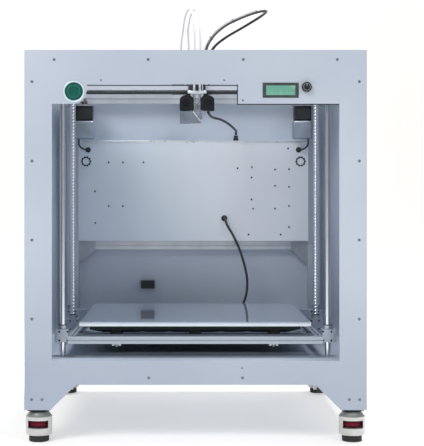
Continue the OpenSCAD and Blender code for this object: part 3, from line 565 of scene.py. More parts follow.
OVERHEAD = [(30, 430, 977.2), (30, 430, 1040), (36, 440, 1105), (58, 470, 1150), (95, 505, 1187),
            (140, 545, 1215), (190, 590, 1240), (224, 630, 1253), (232, 675, 1255),
            (212, 725, 1245), (165, 775, 1222), (105, 825, 1192), (66, 860, 1160),
            (52, 868, 1110), (51, 862, 1060), (51, 860, 1019)]
LOWER = [(42, 437, 916), (50, 480, 908), (60, 530, 906), (80, 580, 905), (98, 630, 901),
         (115, 690, 895), (130, 750, 888), (140, 810, 884), (144, 850, 882), (144, 870, 873)]
BED_CABLE = [(104, 842, 590), (106, 828, 588), (114, 815, 565), (134, 805, 530),
             (152, 800, 490), (168, 795, 440), (178, 790, 390), (176, 785, 345),
             (166, 780, 312), (155, 773, 295), (154, 769, 287)]
FILAMENT = [(8, 416, 987), (8, 417, 1050), (10, 425, 1110), (9, 450, 1170), (4, 500, 1222),
            (-4, 570, 1248), (-12, 660, 1256), (-20, 750, 1248), (-26, 830, 1218),
            (-28, 890, 1170), (-28, 922, 1110), (-28, 928, 1062)]
LEAD = [(380, 798, 853.5), (381, 799, 846), (381, 803, 837), (377, 812, 828), (369, 824, 822),
        (361, 835, 820), (354, 844, 820)]


def tube_offset(side, q):
    x, depth, z = q
    gap = 23 if z < 1062.5 and depth > 900 else 13 if depth > 880 else 8.5
    return (x + side * gap, depth, z)


def cord(name, points, radius, material, pair=None):
    """Cord fixed to the object at both ends; with a pair it is baked in place, else it rides on
    the root.
    """
    obj = tube(name, points, radius, material)
    if pair:
        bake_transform(obj)
    else:
        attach(obj, "root")
    return obj


def loop_in_two(name, route, middle, radius, material):
    """Loop from the head over to the cabinet, cut in two at the middle point of the route."""
    steps = 5
    points = smooth([at(*q) for q in route], steps)
    cut = middle * steps
    return [cord(name + "_front", points[:cut + 1], radius, material,
                 pair=("head", "gantry")),
            cord(name + "_rear", points[cut:], radius, material,
                 pair=("gantry", "root"))]


def make_ties(m, black, pale):
    """Ties round the overhead cable and its pale tube, on the cable's front half."""
    ties = bmesh.new()
    for k in (14, 23, 31, 38):
        a, b = black[k], pale[k]
        along = (black[k + 1] - black[k - 1]).normalized()
        out = (b - a - along * (b - a).dot(along)).normalized()
        across = along.cross(out)
        gap = (b - a).length
        rings = []
        for shift, grow in ((-1.3, 0), (-1.0, 0.5), (1.0, 0.5), (1.3, 0)):
            ring = []
            for i in range(28):
                angle = TURN * i / 28
                far = 4.1 * MM if math.cos(angle) < 0 else 2.4 * MM
                base = a if math.cos(angle) < 0 else a + out * gap
                reach = far + grow * MM
                wide = (4.1 if math.cos(angle) < 0 else 3.1) * MM + grow * MM
                ring.append(ties.verts.new(base + along * shift * MM
                                           + out * math.cos(angle) * reach
                                           + across * math.sin(angle) * wide))
            rings.append(ring)
        loft(ties, rings + rings[:1], caps=False)
    outward(ties)
    obj = piece("overhead_cable_ties", ties, m["rubber"])
    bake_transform(obj)


def make_cords(m):
    braid = sheath("braided_sheath", (0.008, 0.010, 0.014), (0.020, 0.023, 0.030), 0.45,
                   0.003, 35, 0.7)
    plain = sheath("plain_sheath", (0.008, 0.010, 0.014), (0.018, 0.021, 0.027), 0.4,
                   0.006, 0, 0.15)
    over = loop_in_two("overhead_cable", OVERHEAD, 8, 4 * MM, braid)
    loop_in_two("lower_hose", LOWER, 3, 4 * MM, braid)
    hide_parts("head_cables")
    side_by_side = [(x - 4.5, depth, z + 5) if i < 7 else (x - 5, depth + 6.5, z + 1)
                    for i, (x, depth, z) in enumerate(OVERHEAD)]
    side_by_side[0] = (25.5, 430, 977)
    side_by_side[-1] = (44, 866.5, 1019)
    loop_in_two("overhead_air_tube", side_by_side, 8, 2.2 * MM, m["tube"])
    make_ties(m, smooth([at(*q) for q in OVERHEAD], 5)[:41],
              smooth([at(*q) for q in side_by_side], 5)[:41])
    tubes = []
    for side, word in SIDES:
        tubes += loop_in_two("filament_tube_" + word, [tube_offset(side, q) for q in FILAMENT],
                             6, 3 * MM, m["tube"])
    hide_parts("filament_tubes")
    bed = smooth([at(*q) for q in BED_CABLE], 4)
    bed_lead = cord("bed_cable_run", bed, 4 * MM, braid, pair=("root", "bed"))
    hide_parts("bed_cable")
    for side, word in SIDES:
        path = smooth([at(side * x, depth, z) for x, depth, z in LEAD], 5)
        cord("drive_lead_" + word, path, 2.8 * MM, plain)
    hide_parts("motor_leads")


# ---------- cable exits and clips ----------

def make_cable_fittings(m):
    for side, word in SIDES:
        turned("lead_grommet_" + word,
               [(2.6, -7), (7.2, -7), (8.8, -5.5), (9, -3), (9, -0.4), (5.9, 0), (5.9, 4.8),
                (2.6, 4.8), (2.6, -7)],
               on(COVER_Y, side * 354, 820), m["rubber"], "root", "Y")
    turned("bed_cable_gland",
           [(4.1, -7), (7.5, -7), (8.5, -6), (8.5, -3.6), (10, -3), (10, -0.2), (6.9, 0),
            (6.9, 4.8), (4.1, 4.8), (4.1, -7)],
           on(COVER_Y, 104, 590), m["black"], "root", "Y")
    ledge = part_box("electronics_cover")[1].z
    turned("hose_gland",
           [(4.2, 17.8), (6.6, 17.8), (7.4, 16.6), (7.4, 13), (6.6, 12.2), (6.6, 11.4),
            (7.6, 10.8), (7.6, 8.5), (8.9, 8), (8.9, 0.2), (6.9, 0), (6.9, -4.8), (4.2, -4.8),
            (4.2, 17.8)],
           Vector((144 * MM, COVER_Y + 20 * MM, ledge)), m["black"], "root")
    # Clip on the rear rail: a saddle with a strap over the cable
    boxes("overhead_clip", at(51, 860, 1005),
          [((-11, -10, 0), (11, 10, 4)), ((-8, -6, 3.9), (-4, 6, 13)),
           ((4, -6, 3.9), (8, 6, 13)), ((-4.1, -6, 3.9), (4.1, 6, 6))],
          m["black"], "root", 1.0)


# ---------- front fittings ----------

def make_badge(m):
    mid = centre("corner_badge")
    place = Vector((mid.x, FRONT_Y, mid.z))
    turned("badge_rim",
           [(24.6, 0.0), (29, 0.0), (29, 2.0), (28.6, 2.6), (28, 3.0), (26, 3.0), (25.2, 2.5),
            (24.6, 2.2), (24.6, 0.0)],
           place, m["badge_rim"], "root", "Y", 96, -1, slot="badge")
    turned("badge_disc", [(0, 0.2), (24.7, 0.2), (24.7, 2.0), (23.8, 2.2), (18.3, 2.4), (0, 2.7)],
           place, m["badge"], "root", "Y", 96, -1, slot="badge", stands_for="corner_badge")
    turned("badge_ring",
           [(15.6, 2.3), (16.9, 2.3), (16.9, 2.7), (16.6, 2.9), (15.9, 2.9), (15.6, 2.75),
            (15.6, 2.3)],
           place, m["badge_line"], "root", "Y", 96, -1, slot="badge")


def make_display(m):
    sheet = at(0, 0, 0)
    low, high = ((corner - sheet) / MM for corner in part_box("display_module"))
    left, right, bottom, top = 179, 275, 922, 962
    wide, tall, lap = 9, 7, 0.1
    boxes("display_bezel", sheet,
          [((left, -2, bottom), (right, 0, bottom + tall)),
           ((left, -2, top - tall), (right, 0, top)),
           ((left, -2, bottom + tall - lap), (left + wide, 0, top - tall + lap)),
           ((right - wide, -2, bottom + tall - lap), (right, 0, top - tall + lap))],
          m["bezel"], "root", 0.5, slot="display", stands_for="display_module")
    boxes("display_body", sheet,
          [((left + 2.2, -0.3, bottom + 2.2), (right - 2.2, 9, top - 2.2)),
           ((low.x, 9, low.z), high)],
          m["board"], "root", 0.4, slot="display")
    boxes("display_window", sheet,
          [((left + wide - 0.5, -1.3, bottom + tall - 0.5),
            (right - wide + 0.5, -0.4, top - tall + 0.5))],
          m["window"], "root", 0.3, slot="display")
    # Bent tabs that hold the metal bezel to its board
    boxes("display_tabs", sheet,
          [((x, 8.6, z), (x + 3, 9.4, z + 2))
           for x in (left + 16, (left + right) / 2, right - 16)
           for z in (bottom + 1.2, top - 3)],
          m["zinc"], "root", 0.2, slot="display")
    # Small parts and the encoder's case on the board
    rng = random.Random(4)
    parts = []
    for _ in range(16):
        x, z = rng.uniform(low.x + 6, right - 8), rng.uniform(low.z + 4, low.z + 44)
        w, h = rng.uniform(2, 7), rng.uniform(2, 5)
        parts.append(((x, high.y - 0.2, z), (x + w, high.y + 1.4, z + h)))
    boxes("display_parts", sheet, parts, m["gloss_black"], "root", 0.2)
    knob = centre("encoder_shaft")
    boxes("encoder_case", Vector((knob.x, FRONT_Y, knob.z)),
          [((-6, 4.5, -6), (-3.2, 9.4, 6)), ((3.2, 4.5, -6), (6, 9.4, 6)),
           ((-3.3, 4.5, 3.2), (3.3, 9.4, 6)), ((-3.3, 4.5, -6), (3.3, 9.4, -3.2))],
          m["zinc"], "root", 0.3)


def make_knob(m):
    low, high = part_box("encoder_knob")
    mid = (low + high) / 2
    place = Vector((mid.x, high.y, mid.z))
    depth = (high.y - low.y) / MM
    bm = bmesh.new()
    add_prism(bm, gear_outline(13.4, 0.55, 36), 2.5 - depth, -1.8, place, "Y")
    add_lathe(bm, [(3.3, 0), (13.2, 0), (13.4, 0.6), (13.4, 1.8), (12.8, 2.0), (3.3, 2.0),
                   (3.3, 0)], place, "Y", 64, -1)
    add_lathe(bm, [(0, depth - 0.6), (10.2, depth - 0.6), (10.8, depth), (11.6, depth),
                   (12.7, depth - 0.9), (12.9, depth - 2.6), (0, depth - 2.7)],
              place, "Y", 64, -1)
    fit("knurled_knob", bm, m["gloss_black"], "knob", "black_plastic", "encoder_knob")
    turned("knob_ring", [(8.4, depth - 0.62), (9.4, depth - 0.62), (9.4, depth - 0.2),
                         (8.4, depth - 0.2), (8.4, depth - 0.62)],
           place, m["zinc"], "knob", "Y", 64, -1, slot="steel")
    boxes("knob_mark", Vector((mid.x, low.y, mid.z)), [((-0.6, 0.1, 3), (0.6, 0.7, 7.6))],
          m["light_plate"], "knob", 0.2, slot="steel")


def make_screws(m):
    outer, inner = bmesh.new(), bmesh.new()
    stand = (FRONT_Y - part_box("panel_screws")[0].y) / MM
    rows, top, skirt, leg = (331, 542, 753, 965), 1024, 174, 116
    sheet = [(s * 437, z) for s in (-1, 1) for z in rows]
    sheet += [(x, top) for x in (-378, -127, 127, 378)]
    feet = [(x, skirt) for x in (-125, 125)]
    feet += [(s * x, leg) for s in (-1, 1) for x in (410, 438)]
    for x, z in sheet + feet:
        screw_head(outer, on(FRONT_Y, x, z), 4, stand)
    for x, z in ((-253, 969), (76, 969), (126, 915), (124, 200)):
        screw_head(outer, on(FRONT_Y, x, z), 2.6, 1)
    for x, z in sheet:
        screw_head(outer, on(REAR_Y, x, z), 4, 1.2, flip=1)
    for node, end, flip in (("side_panel_left", 0, -1), ("side_panel_right", 1, 1)):
        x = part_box(node)[end].x
        for y in (FRONT_Y + 20 * MM, REAR_Y - 20 * MM):
            for z in rows:
                screw_head(outer, Vector((x, y, z * MM)), 4, 1.2, "X", flip)
    fit("panel_screw_heads", outer, m["dark_screw"], "root", "steel", "panel_screws")
    for x, z in ((-285, 778), (-237, 778), (-168, 778), (-285, 631), (-237, 631), (-331, 681),
                 (-330, 574), (149, 758), (197, 762), (196, 727), (275, 754), (322, 755),
                 (275, 699), (322, 695), (196, 653), (201, 622), (275, 622), (322, 631),
                 (186, 535), (294, 535), (322, 560), (319, 825)):
        screw_head(inner, on(COVER_Y, x, z), 3, 1.2)
    fit("cover_screw_heads", inner, m["gloss_black"], "root", "steel")


def make_edge_shadow_strips(m):
    """Black strips that paint the shadow behind the sheet along the notch's right edge and the
    opening's top edge.
    """
    boxes("opening_shadow_strips", at(0, 0, 0),
          [((110.2, 0.4, 906), (113.1, 2.4, 958.1)), ((110.2, 0.4, 903.2), (384, 2.4, 906.1))],
          m["rubber"], "root", 0.4, slot="black_plastic")


# ---------- head ----------

def make_hot_ends(m):
    steel, brass, blocks = bmesh.new(), bmesh.new(), bmesh.new()
    fins = [(0, 912), (3.2, 912), (3.2, 918)]
    for i in range(9):
        z = 918 + i * 4.6
        fins += [(3.4, z), (7.7, z), (8, z + 0.3), (8, z + 1.7), (7.7, z + 2), (3.4, z + 2)]
    fins += [(3.2, 962), (3.2, 969), (0, 969)]
    for side in (-1, 1):
        place = by_head(side * 8.5, 416, 0)
        add_lathe(steel, fins, place, "Z", 32)
        add_lathe(steel, [(0, 977), (4.5, 977), (4.5, 981), (3.6, 982), (3.6, 985.6), (4.4, 986),
                          (4.4, 987), (3.1, 987), (0, 986.2)], place, "Z", 24)
        add_box(blocks, place, (-7.5, -9, 893), (7.5, 11, 911.9), 0.6)
        add_lathe(brass, [(0, 893.1), (3.5, 893.1), (3.5, 883), (3.1, 882), (0.9, 878.2),
                          (0.8, 878), (0, 878)], place, "Z", 6)
        # Heater cartridge and sensor standing out of the rear of the block
        for dx, dz in ((-3.5, 905), (3.2, 899)):
            add_lathe(steel, [(0, 0), (2.2, 0), (2.2, 3.6), (1.4, 4), (0, 4)],
                      place + mm(dx, 6, dz), "Y", 16)
    fit("hot_end_fins", steel, m["zinc"], "head", "hot_end", "hot_ends")
    fit("heater_blocks", blocks, m["duct"], "head", "hot_end")
    fit("nozzles", brass, m["brass"], "head", "hot_end")


def blower_wheel(hub, side):
    """Rotor with forward-curved blades."""
    rotor = bmesh.new()
    start, width, blades = 26.2, 22.8, 22
    add_lathe(rotor, [(4.1, 0), (8, 0), (8, width * 0.9), (7, width), (4.1, width), (4.1, 0)],
              hub + mm(side * start, 0, 0), "X", 28, side)
    add_lathe(rotor, [(7.8, 0), (15.2, 0), (15.2, 1), (7.8, 1), (7.8, 0)],
              hub + mm(side * (start + 0.8), 0, 0), "X", 36, side)
    for i in range(blades):
        a = TURN * i / blades
        face = []
        for r, swing in ((8.6, 0), (11, 6), (13.2, 10), (15.2, 12)):
            t = a + math.radians(swing)
            face.append((r * math.cos(t), r * math.sin(t)))
        outline = face + [(u * 0.985 - 0.35 * math.sin(a), v * 0.985 + 0.35 * math.cos(a))
                          for u, v in face[::-1]]
        loft(rotor, [[rotor.verts.new(hub + mm(side * x, u, v)) for u, v in outline]
                     for x in (start + 1.6, start + width - 0.6)])
    outward(rotor)
    return rotor


def blower_shell(hub, side):
    """Blower case with its round well, axle, hanger and ribs."""
    half, inner, outer, steps = 18, 20, 52, 44
    hole, edge = [], []
    for i in range(steps):
        a = TURN * (i + 0.5) / steps
        c, s = math.cos(a), math.sin(a)
        hole.append((c * 15.9, s * 15.9))
        # Rounded square, more rounded along its upper edge
        power = 3.2 if s > 0 else 7
        reach = half * (abs(c) ** power + abs(s) ** power) ** (-1 / power)
        edge.append((c * reach, s * reach))
    shell = bmesh.new()
    # Outer wall, outer face, round well, floor of the well
    loft(shell, [[shell.verts.new(hub + mm(side * x, u * scale, v * scale)) for u, v in ring]
                 for x, ring, scale in ((inner, edge, 0.97), (inner + 0.8, edge, 1),
                                        (outer - 1.4, edge, 1), (outer, edge, 0.94),
                                        (outer, hole, 1), (outer - 1.2, hole, 0.985),
                                        (inner + 4, hole, 0.985))])
    outward(shell)
    add_lathe(shell, [(0, 0), (3.9, 0), (3.9, 23.6), (3.4, 24), (0, 24)],
              hub + mm(side * (inner + 3.9), 0, 0), "X", 24, side)
    # Hanger up to the plate, rounded off towards the outside
    add_box(shell, hub, (side * inner, -12, half - 3), (side * (inner + 18), 12, 30), 4.5, 4)
    add_box(shell, hub, (side * inner, -6, 24), (side * (inner + 8), 11, 33), 0.8)
    for u, v in ((24, 10), (30, 23)):
        screw_head(shell, hub + mm(side * u, -12, v), 2.2, 1)
    for x in (27, 35, 43):
        add_box(shell, hub, (side * x, -half, -half), (side * (x + 1), 1.2 - half, half * 0.55),
                0.25)
    return shell


def make_blowers(m):
    hub = by_head(0, 416, 936)
    for side, word in SIDES:
        fit("blower_shell_" + word, blower_shell(hub, side), m["fan_black"], "head",
            "black_plastic", "blowers" if side < 0 else None)
        fit("blower_wheel_" + word, blower_wheel(hub, side), m["gloss_black"], "rotor_" + word,
            "black_plastic", "blower_rotor_" + word, angle=30)
    # Sheet duct under the left blower, with a plate across the front of the hot ends
    duct, base, thick = bmesh.new(), by_head(0, 404, 0), 1.4
    lap = thick * 0.9
    for one, other in (((-52, 0, 880), (-18, 24, 880 + thick)),
                       ((-52, 0, 918 - thick), (-18, 24, 918)),
                       ((-52, 24 - thick, 880 + lap), (-18, 24, 918 - lap)),
                       ((-52, 0.1, 880 + lap), (-52 + thick, 24 - lap, 918 - lap))):
        add_box(duct, base, one, other, 0.3)
    add_prism(duct, [(-52, 917), (-11, 917), (13, 886), (7, 880), (-52, 880)], -1.4, 0.1,
              base, "Y")
    for u, v in ((-47, 912), (-47, 885), (-14, 885)):
        screw_head(duct, base + mm(u, -1.3, v), 2, 0.9)
    fit("nozzle_duct", duct, m["duct"], "head", "cover_sheet", angle=25)
    # Folded edge along the plate's slope, in a brighter metal than the duct: painted highlight
    duct_highlight = bmesh.new()
    slope, thin = Vector((24, 0, -31)), Vector((0, -1.1, 0))
    wide = Vector((-slope.z, 0, slope.x)).normalized() * -3.4
    start = base + mm(-11, -1.4, 917)
    loft(duct_highlight, [[duct_highlight.verts.new(start + mm(*(slope * share + q)))
                 for q in (Vector(), thin, wide + thin, wide)] for share in (0.02, 0.97)])
    outward(duct_highlight)
    fit("nozzle_duct_highlight", duct_highlight, m["light_plate"], "head", "cover_sheet")


def make_fan_scrolls(m):
    """Rounded black fronts of the two fan housings, either side of the hot ends."""
    front = 397.5
    for side, word in SIDES:
        outline = [(12, 919), (12, 958)]
        for i in range(9):
            angle = math.pi / 2 * i / 8
            outline.append((24 + 27.5 * math.sin(angle), 951 + 15 * math.cos(angle)))
        outline += [(51.5, 924), (46, 919)]
        scroll = bmesh.new()
        add_prism(scroll, [(side * u, v) for u, v in outline[::side]], 0, 5,
                  by_head(0, front, 0), "Y")
        edges = [e for e in scroll.edges if e.calc_face_angle(0) > 0.6]
        bmesh.ops.bevel(scroll, geom=edges, offset=1.1 * MM, segments=3, affect="EDGES")
        for outer, inner in ((11.5, 10.3), (8.6, 7.4), (5.7, 4.5)):
            add_lathe(scroll, [(inner, -0.05), (outer, -0.05), (outer, 0.8), (outer - 0.3, 1.2),
                               (inner + 0.3, 1.2), (inner, 0.8), (inner, -0.05)],
                      by_head(side * 33, front, 940), "Y", 40, -1)
        for u, v in ((16, 954), (47, 923), (16, 923)):
            screw_head(scroll, by_head(side * u, front, v), 2.1, 1.1)
        fit("fan_scroll_" + word, scroll, m["fan_black"], "head", "black_plastic", angle=40)


def make_carriage(m):
    """Black linear carriage, bright plate under it and the arm back to the belt."""
    face = by_head(0, 438, 0)
    block, plate = bmesh.new(), bmesh.new()
    add_box(block, face, (-26, 0, 977), (26, 5.4, 1001), 0.9)
    for z0, z1 in ((977, 983.6), (996.4, 1001)):
        add_box(block, face, (-26, 5.3, z0), (26, 13.6, z1), 0.5)
    for u in (-18, 18):
        for z in (982, 996):
            screw_head(block, face + mm(u, 0, z), 2.8, 1.1)
    for side in (-1, 1):
        add_box(block, face, (side * 24, 0.6, 978), (side * 26.2, 5, 1000), 0.3)
    fit("carriage_block", block, m["black"], "head", "black_plastic", "head_carriage")
    add_box(plate, face, (-28, -44, 969.1), (28, 12, 976.9), 0.8)
    for u in (-23, 23):
        for v in (-38, -14):
            add_lathe(plate, [(0, 976.8), (3, 976.8), (3, 978.2), (2.4, 979), (0, 979)],
                      face + mm(u, v, 0), "Z", 18)
    strand = 40
    for one, other, bevel in (((-12, 0, 1000.9), (12, strand + 4, 1005), 0.8),
                              ((-12, strand + 0.7, 982), (12, strand + 4, 1001), 0.5),
                              ((-12, strand - 5, 994), (12, strand + 1, 1001), 0.5)):
        add_box(plate, face, one, other, bevel)
    fit("carriage_plate", plate, m["light_plate"], "head", "bracket")


def make_head_strip(m):
    """Narrow folded strip that ties the two blowers together behind the hot ends."""
    boxes("head_strip", by_head(0, 430, 0),
          [((-20.5, 0, 924), (20.5, 1.6, 934)), ((-20.5, 0, 933.9), (20.5, 4, 935.2))],
          m["light_plate"], "head", 0.4)


# ---------- motors, screws and feeders ----------

def motor_body(dark, cap, place, half, z0, z1, plate):
    """Laminated motor body between two cast plates, corners cut."""
    def octagon(h, cut):
        return [(-h + cut, -h), (h - cut, -h), (h, -h + cut), (h, h - cut), (h - cut, h),
                (-h + cut, h), (-h, h - cut), (-h, -h + cut)]
    add_prism(cap, octagon(half, 3.4), z0, z0 + plate, place)
    add_prism(cap, octagon(half, 3.4), z1 - plate, z1, place)
    add_prism(dark, octagon(half * 0.985, 4.4), z0 + plate * 0.98, z1 - plate * 0.98, place)
    bolt, seat, top = half - 3.6, z1 - plate, z1 - plate * 0.3
    for sx in (-1, 1):
        for sy in (-1, 1):
            add_lathe(cap, [(0, seat), (1.6, seat), (1.6, top), (0, top)],
                      place + mm(sx * bolt, sy * bolt, 0), "Z", 12)


def make_motors(m):
    dark, cap, grey, shafts = (bmesh.new() for _ in range(4))
    for side in (-1, 1):
        place = at(side * 362, 805, 0)
        motor_body(dark, cap, place, 28.4, 913.2, 961.9, 6)
        add_box(grey, place, (-32, -32, 854), (32, 32, 913.1), 7, 5)
        add_lathe(shafts, [(0, 961), (11.4, 961), (11.4, 967.4), (10.8, 968), (3, 968),
                           (3, 981.6), (2.6, 982), (0, 982)], place, "Z", 28)
        lift = at(side * 367, 430, 0)
        motor_body(dark, cap, lift, 20.8, 158, 215.9, 7)
        add_lathe(shafts, [(0, 215), (4, 215), (4, 224.6), (3.6, 225), (0, 225)], lift, "Z", 24)
    fit("drive_motor_bodies", dark, m["black"], "root", "motor", "stepper_motors")
    fit("drive_motor_plates", cap, m["gloss_black"], "root", "motor")
    fit("drive_motor_caps", grey, m["motor_cap"], "root", "motor")
    fit("drive_motor_shafts", shafts, m["steel"], "root", "steel")
    dark, cap, place = bmesh.new(), bmesh.new(), under("x_motor")
    motor_body(dark, cap, place, 21, 1005, 1043, 6)
    fit("head_motor_body", dark, m["black"], "gantry", "motor", "x_motor")
    fit("head_motor_plates", cap, m["bracket"], "gantry", "motor")
    turned("head_motor_shaft", [(0, 982), (2.2, 982), (2.5, 982.4), (2.5, 1005.2), (0, 1005.2)],
           place, m["steel"], "gantry", slot="motor")


def thread(bm, place, radius, z0, z1, lead, depth, steps=14):
    """Screw thread as one helical ribbon wound on a core."""
    count = int((z1 - z0) / lead * steps)
    rings = []
    for i in range(count + 1):
        a = TURN * i / steps
        z = z0 + (z1 - z0 - lead) * i / count
        rings.append([bm.verts.new(place + mm(r * math.cos(a), r * math.sin(a), z + dz))
                      for r, dz in ((radius - depth, 0), (radius, lead * 0.22),
                                    (radius, lead * 0.5), (radius - depth, lead * 0.72))])
    for a, b in zip(rings, rings[1:]):
        for k in range(4):
            n = (k + 1) % 4
            bm.faces.new((a[k], b[k], b[n], a[n]))
    bm.faces.new(rings[0])
    bm.faces.new(rings[-1])
    outward(bm)


def make_lift_screws(m):
    for word in ("left", "right"):
        place = under("z_screw_" + word)
        bm = bmesh.new()
        add_lathe(bm, [(4.05, 220), (11.4, 220), (12, 220.6), (12, 231), (10.8, 231.6),
                       (10.8, 233.4), (12, 234), (12, 244.4), (11.4, 245), (7, 245),
                       (7, 965.4), (6.4, 966), (0, 966), (0, 226.1), (4.05, 226.1),
                       (4.05, 220)], place, "Z", 32)
        thread(bm, place, 7.95, 246, 955, 10, 1.1)
        fit("lift_screw_" + word, bm, m["steel"], "screw_" + word, "steel", "z_screw_" + word)


def make_feeders(m):
    dark, metal = bmesh.new(), bmesh.new()
    for x in (-51, -5):
        spot = on(REAR_Y, x, 1027)
        for one, other, bevel in (((-21, -41, -21), (21, -3, 21), 2),
                                  ((-21.5, 0, -27), (21.5, 19, 25), 1.6),
                                  ((-18, 18.9, -24), (-3, 26, 22), 1.6)):
            add_box(dark, spot, one, other, bevel, 3)
        add_lathe(metal, [(0, 0), (9, 0), (9, 8), (8.2, 9), (3, 9), (2.4, 8), (0, 8)],
                  spot + mm(6, 18.9, 0), "Y", 32)
        for i in range(18):
            a = TURN * i / 18
            add_box(metal, spot + mm(6 + 8.8 * math.cos(a), 20, 8.8 * math.sin(a)),
                    (-0.5, 0, -0.5), (0.5, 5, 0.5), 0.2)
        guide = spot + mm(0, 13, 0)
        add_lathe(metal, [(0, 24.9), (5, 25), (5, 29.6), (4.2, 30.4), (4.2, 32.6), (5, 33),
                          (5, 34), (0, 34)], guide, "Z", 24)
        add_lathe(metal, [(0, -27), (4, -27), (4, -32), (3, -33), (1.2, -33), (0, -32)],
                  guide, "Z", 20)
        add_lathe(metal, [(0, -3.1), (10.8, -3.1), (10.8, 0.1), (0, 0.1)], spot, "Y", 32)
        for dx, dz in ((-17, 19), (-17, -21), (17.5, 19), (17.5, -21)):
            screw_head(metal, spot + mm(dx, 19, dz), 2.6, 1.6, flip=1)
    fit("feeder_bodies", dark, m["black"], "root", "black_plastic", "filament_feeders")
    fit("feeder_gears", metal, m["zinc"], "root", "steel")


# ---------- bed fittings ----------

def make_levellers(m):
    metal, pads = bmesh.new(), bmesh.new()
    wing = [(4.4, 243), (8, 241.4), (12, 240.4), (13, 243.5), (12.6, 249), (10.6, 252),
            (7.4, 250.4), (4.4, 249)]
    for depth in (160, 697):
        for x in (-220, 220):
            place = at(x, depth, 0)
            add_lathe(metal, [(0, 238), (2.1, 238), (2.5, 238.5), (2.5, 300), (0, 300)],
                      place, "Z", 16)
            add_lathe(metal, [(2.4, 241), (5.2, 241), (6, 243), (5.6, 250), (4.6, 254.5),
                              (2.4, 254.5), (2.4, 241)], place, "Z", 24)
            for side in (-1, 1):
                loft(metal, [[metal.verts.new(place + mm(side * u, v, w))
                              for u, w in wing[::side]] for v in (-1.3, 1.3)])
        outward(metal)
        for x in (-220, 0, 220):
            for u, v, z0, z1, bevel in ((17, 12, 275.1, 281, 0.8), (14, 10, 280.9, 294.1, 2),
                                        (17, 12, 294, 300, 0.8)):
                add_box(pads, at(x, depth, 0), (-u, -v, z0), (u, v, z1), bevel)
    fit("leveller_nuts", metal, m["zinc"], "bed", "steel", "bed_levellers")
    fit("leveller_spacers", pads, m["rubber"], "bed", "black_plastic")


def make_bearing_details(m):
    """Seals and bolts on the bed's bearing blocks, and the mat under its plate."""
    seals, bolts = bmesh.new(), bmesh.new()
    for side in (-1, 1):
        for x, depth in ((367, 120), (367, 430), (400, 740)):
            add_lathe(seals, [(8.3, 302.9), (12.6, 302.9), (12.6, 304.4), (11.8, 305),
                              (8.3, 305), (8.3, 302.9)], at(side * x, depth, 0), "Z", 32)
            for u in (-11, 11):
                for z in (263, 287):
                    screw_head(bolts, at(side * (x - 4) + u, depth - 22, z), 2.8, 1.6)
    fit("bearing_seals", seals, m["rubber"], "bed", "black_plastic")
    fit("bearing_bolts", bolts, m["gloss_black"], "bed", "steel")
    low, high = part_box("bed_plate")
    size, inset = (high - low) / MM, 14
    boxes("bed_heater_mat", low,
          [((inset, inset, -1.6), (size.x - inset, size.y - inset, 0.1))],
          m["heater_mat"], "bed", 0.4, slot="black_plastic")


def make_cover_edges(m):
    """Folded lip along the cover's top edge."""
    low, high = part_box("electronics_cover")
    boxes("cover_lip", Vector((low.x, low.y, high.z)),
          [((0, -1.2, -7), ((high.x - low.x) / MM, 0.4, 0))], m["light_plate"], "root", 0.4)


def make_beam_shade_strips(m):
    """Black strips on the beam's face: painted shade in the slots above and below the rail and in
    the band along its lower part.
    """
    boxes("beam_shade_strips", at(0, 452, 0),
          [((-352, -0.3, 980.3), (352, 0.2, 983.3)), ((-352, -0.3, 996.8), (352, 0.2, 999.7)),
           ((-352, 0.6, 971.6), (352, 2.2, 980.1))],
          m["black"], "gantry", 0.15, slot="black_plastic")


def make_vent_rings(m):
    """Black guard ring with a grille boss on each of the ten holes of an air vent."""
    holes = 10
    for side, word in SIDES:
        place = on(COVER_Y, side * 361, 781)
        guard = bmesh.new()
        add_lathe(guard, [(11.6, -0.05), (14.6, -0.05), (14.6, 0.7), (14.1, 1.1), (12.1, 1.1),
                          (11.6, 0.7), (11.6, -0.05)], place, "Y", 64, -1)
        for k in range(holes):
            a = TURN * k / holes
            add_lathe(guard, [(0, -0.05), (3.3, -0.05), (3.3, 1.2), (2.8, 1.7), (1.2, 1.7),
                              (1.0, 1.2), (0, 1.2)],
                      place + mm(14.5 * math.cos(a), 0, 14.5 * math.sin(a)), "Y", 20, -1)
        fit("vent_guard_" + word, guard, m["black"], "root", "black_plastic")


def make_insulation(m):
    """Quilted black pad under the bed plate: heat insulation, whose black also paints the deep
    shade seen under the bed.
    """
    low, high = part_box("bed_plate")
    x0, x1 = low.x + 26 * MM, high.x - 26 * MM
    y0, y1 = low.y + 30 * MM, high.y - 30 * MM
    top, drop = low.z - 1.4 * MM, 21 * MM
    across, along = 48, 36
    pad = bmesh.new()
    grid = []
    for j in range(along + 1):
        row = []
        for i in range(across + 1):
            u, v = i / across, j / along
            puff = abs(math.sin(math.pi * 8 * u) * math.sin(math.pi * 6 * v)) ** 0.5
            edge = min(1.0, 8 * min(u, 1 - u, v, 1 - v) + 0.55)
            row.append(pad.verts.new((x0 + (x1 - x0) * u, y0 + (y1 - y0) * v,
                                      top - drop * edge * (0.93 + 0.07 * puff))))
        grid.append(row)
    for a, b in zip(grid, grid[1:]):
        for i in range(across):
            pad.faces.new((a[i], b[i], b[i + 1], a[i + 1]))
    rim = grid[0] + [row[-1] for row in grid[1:]] + grid[-1][-2::-1] \
        + [row[0] for row in grid[-2:0:-1]]
    upper = [pad.verts.new((v.co.x, v.co.y, top)) for v in rim]
    loft(pad, [rim, upper], caps=False)
    pad.faces.new(upper)
    outward(pad)
    fit("bed_insulation_and_shade", pad, m["heater_mat"], "bed", "black_plastic", angle=50)


# ---------- casters ----------

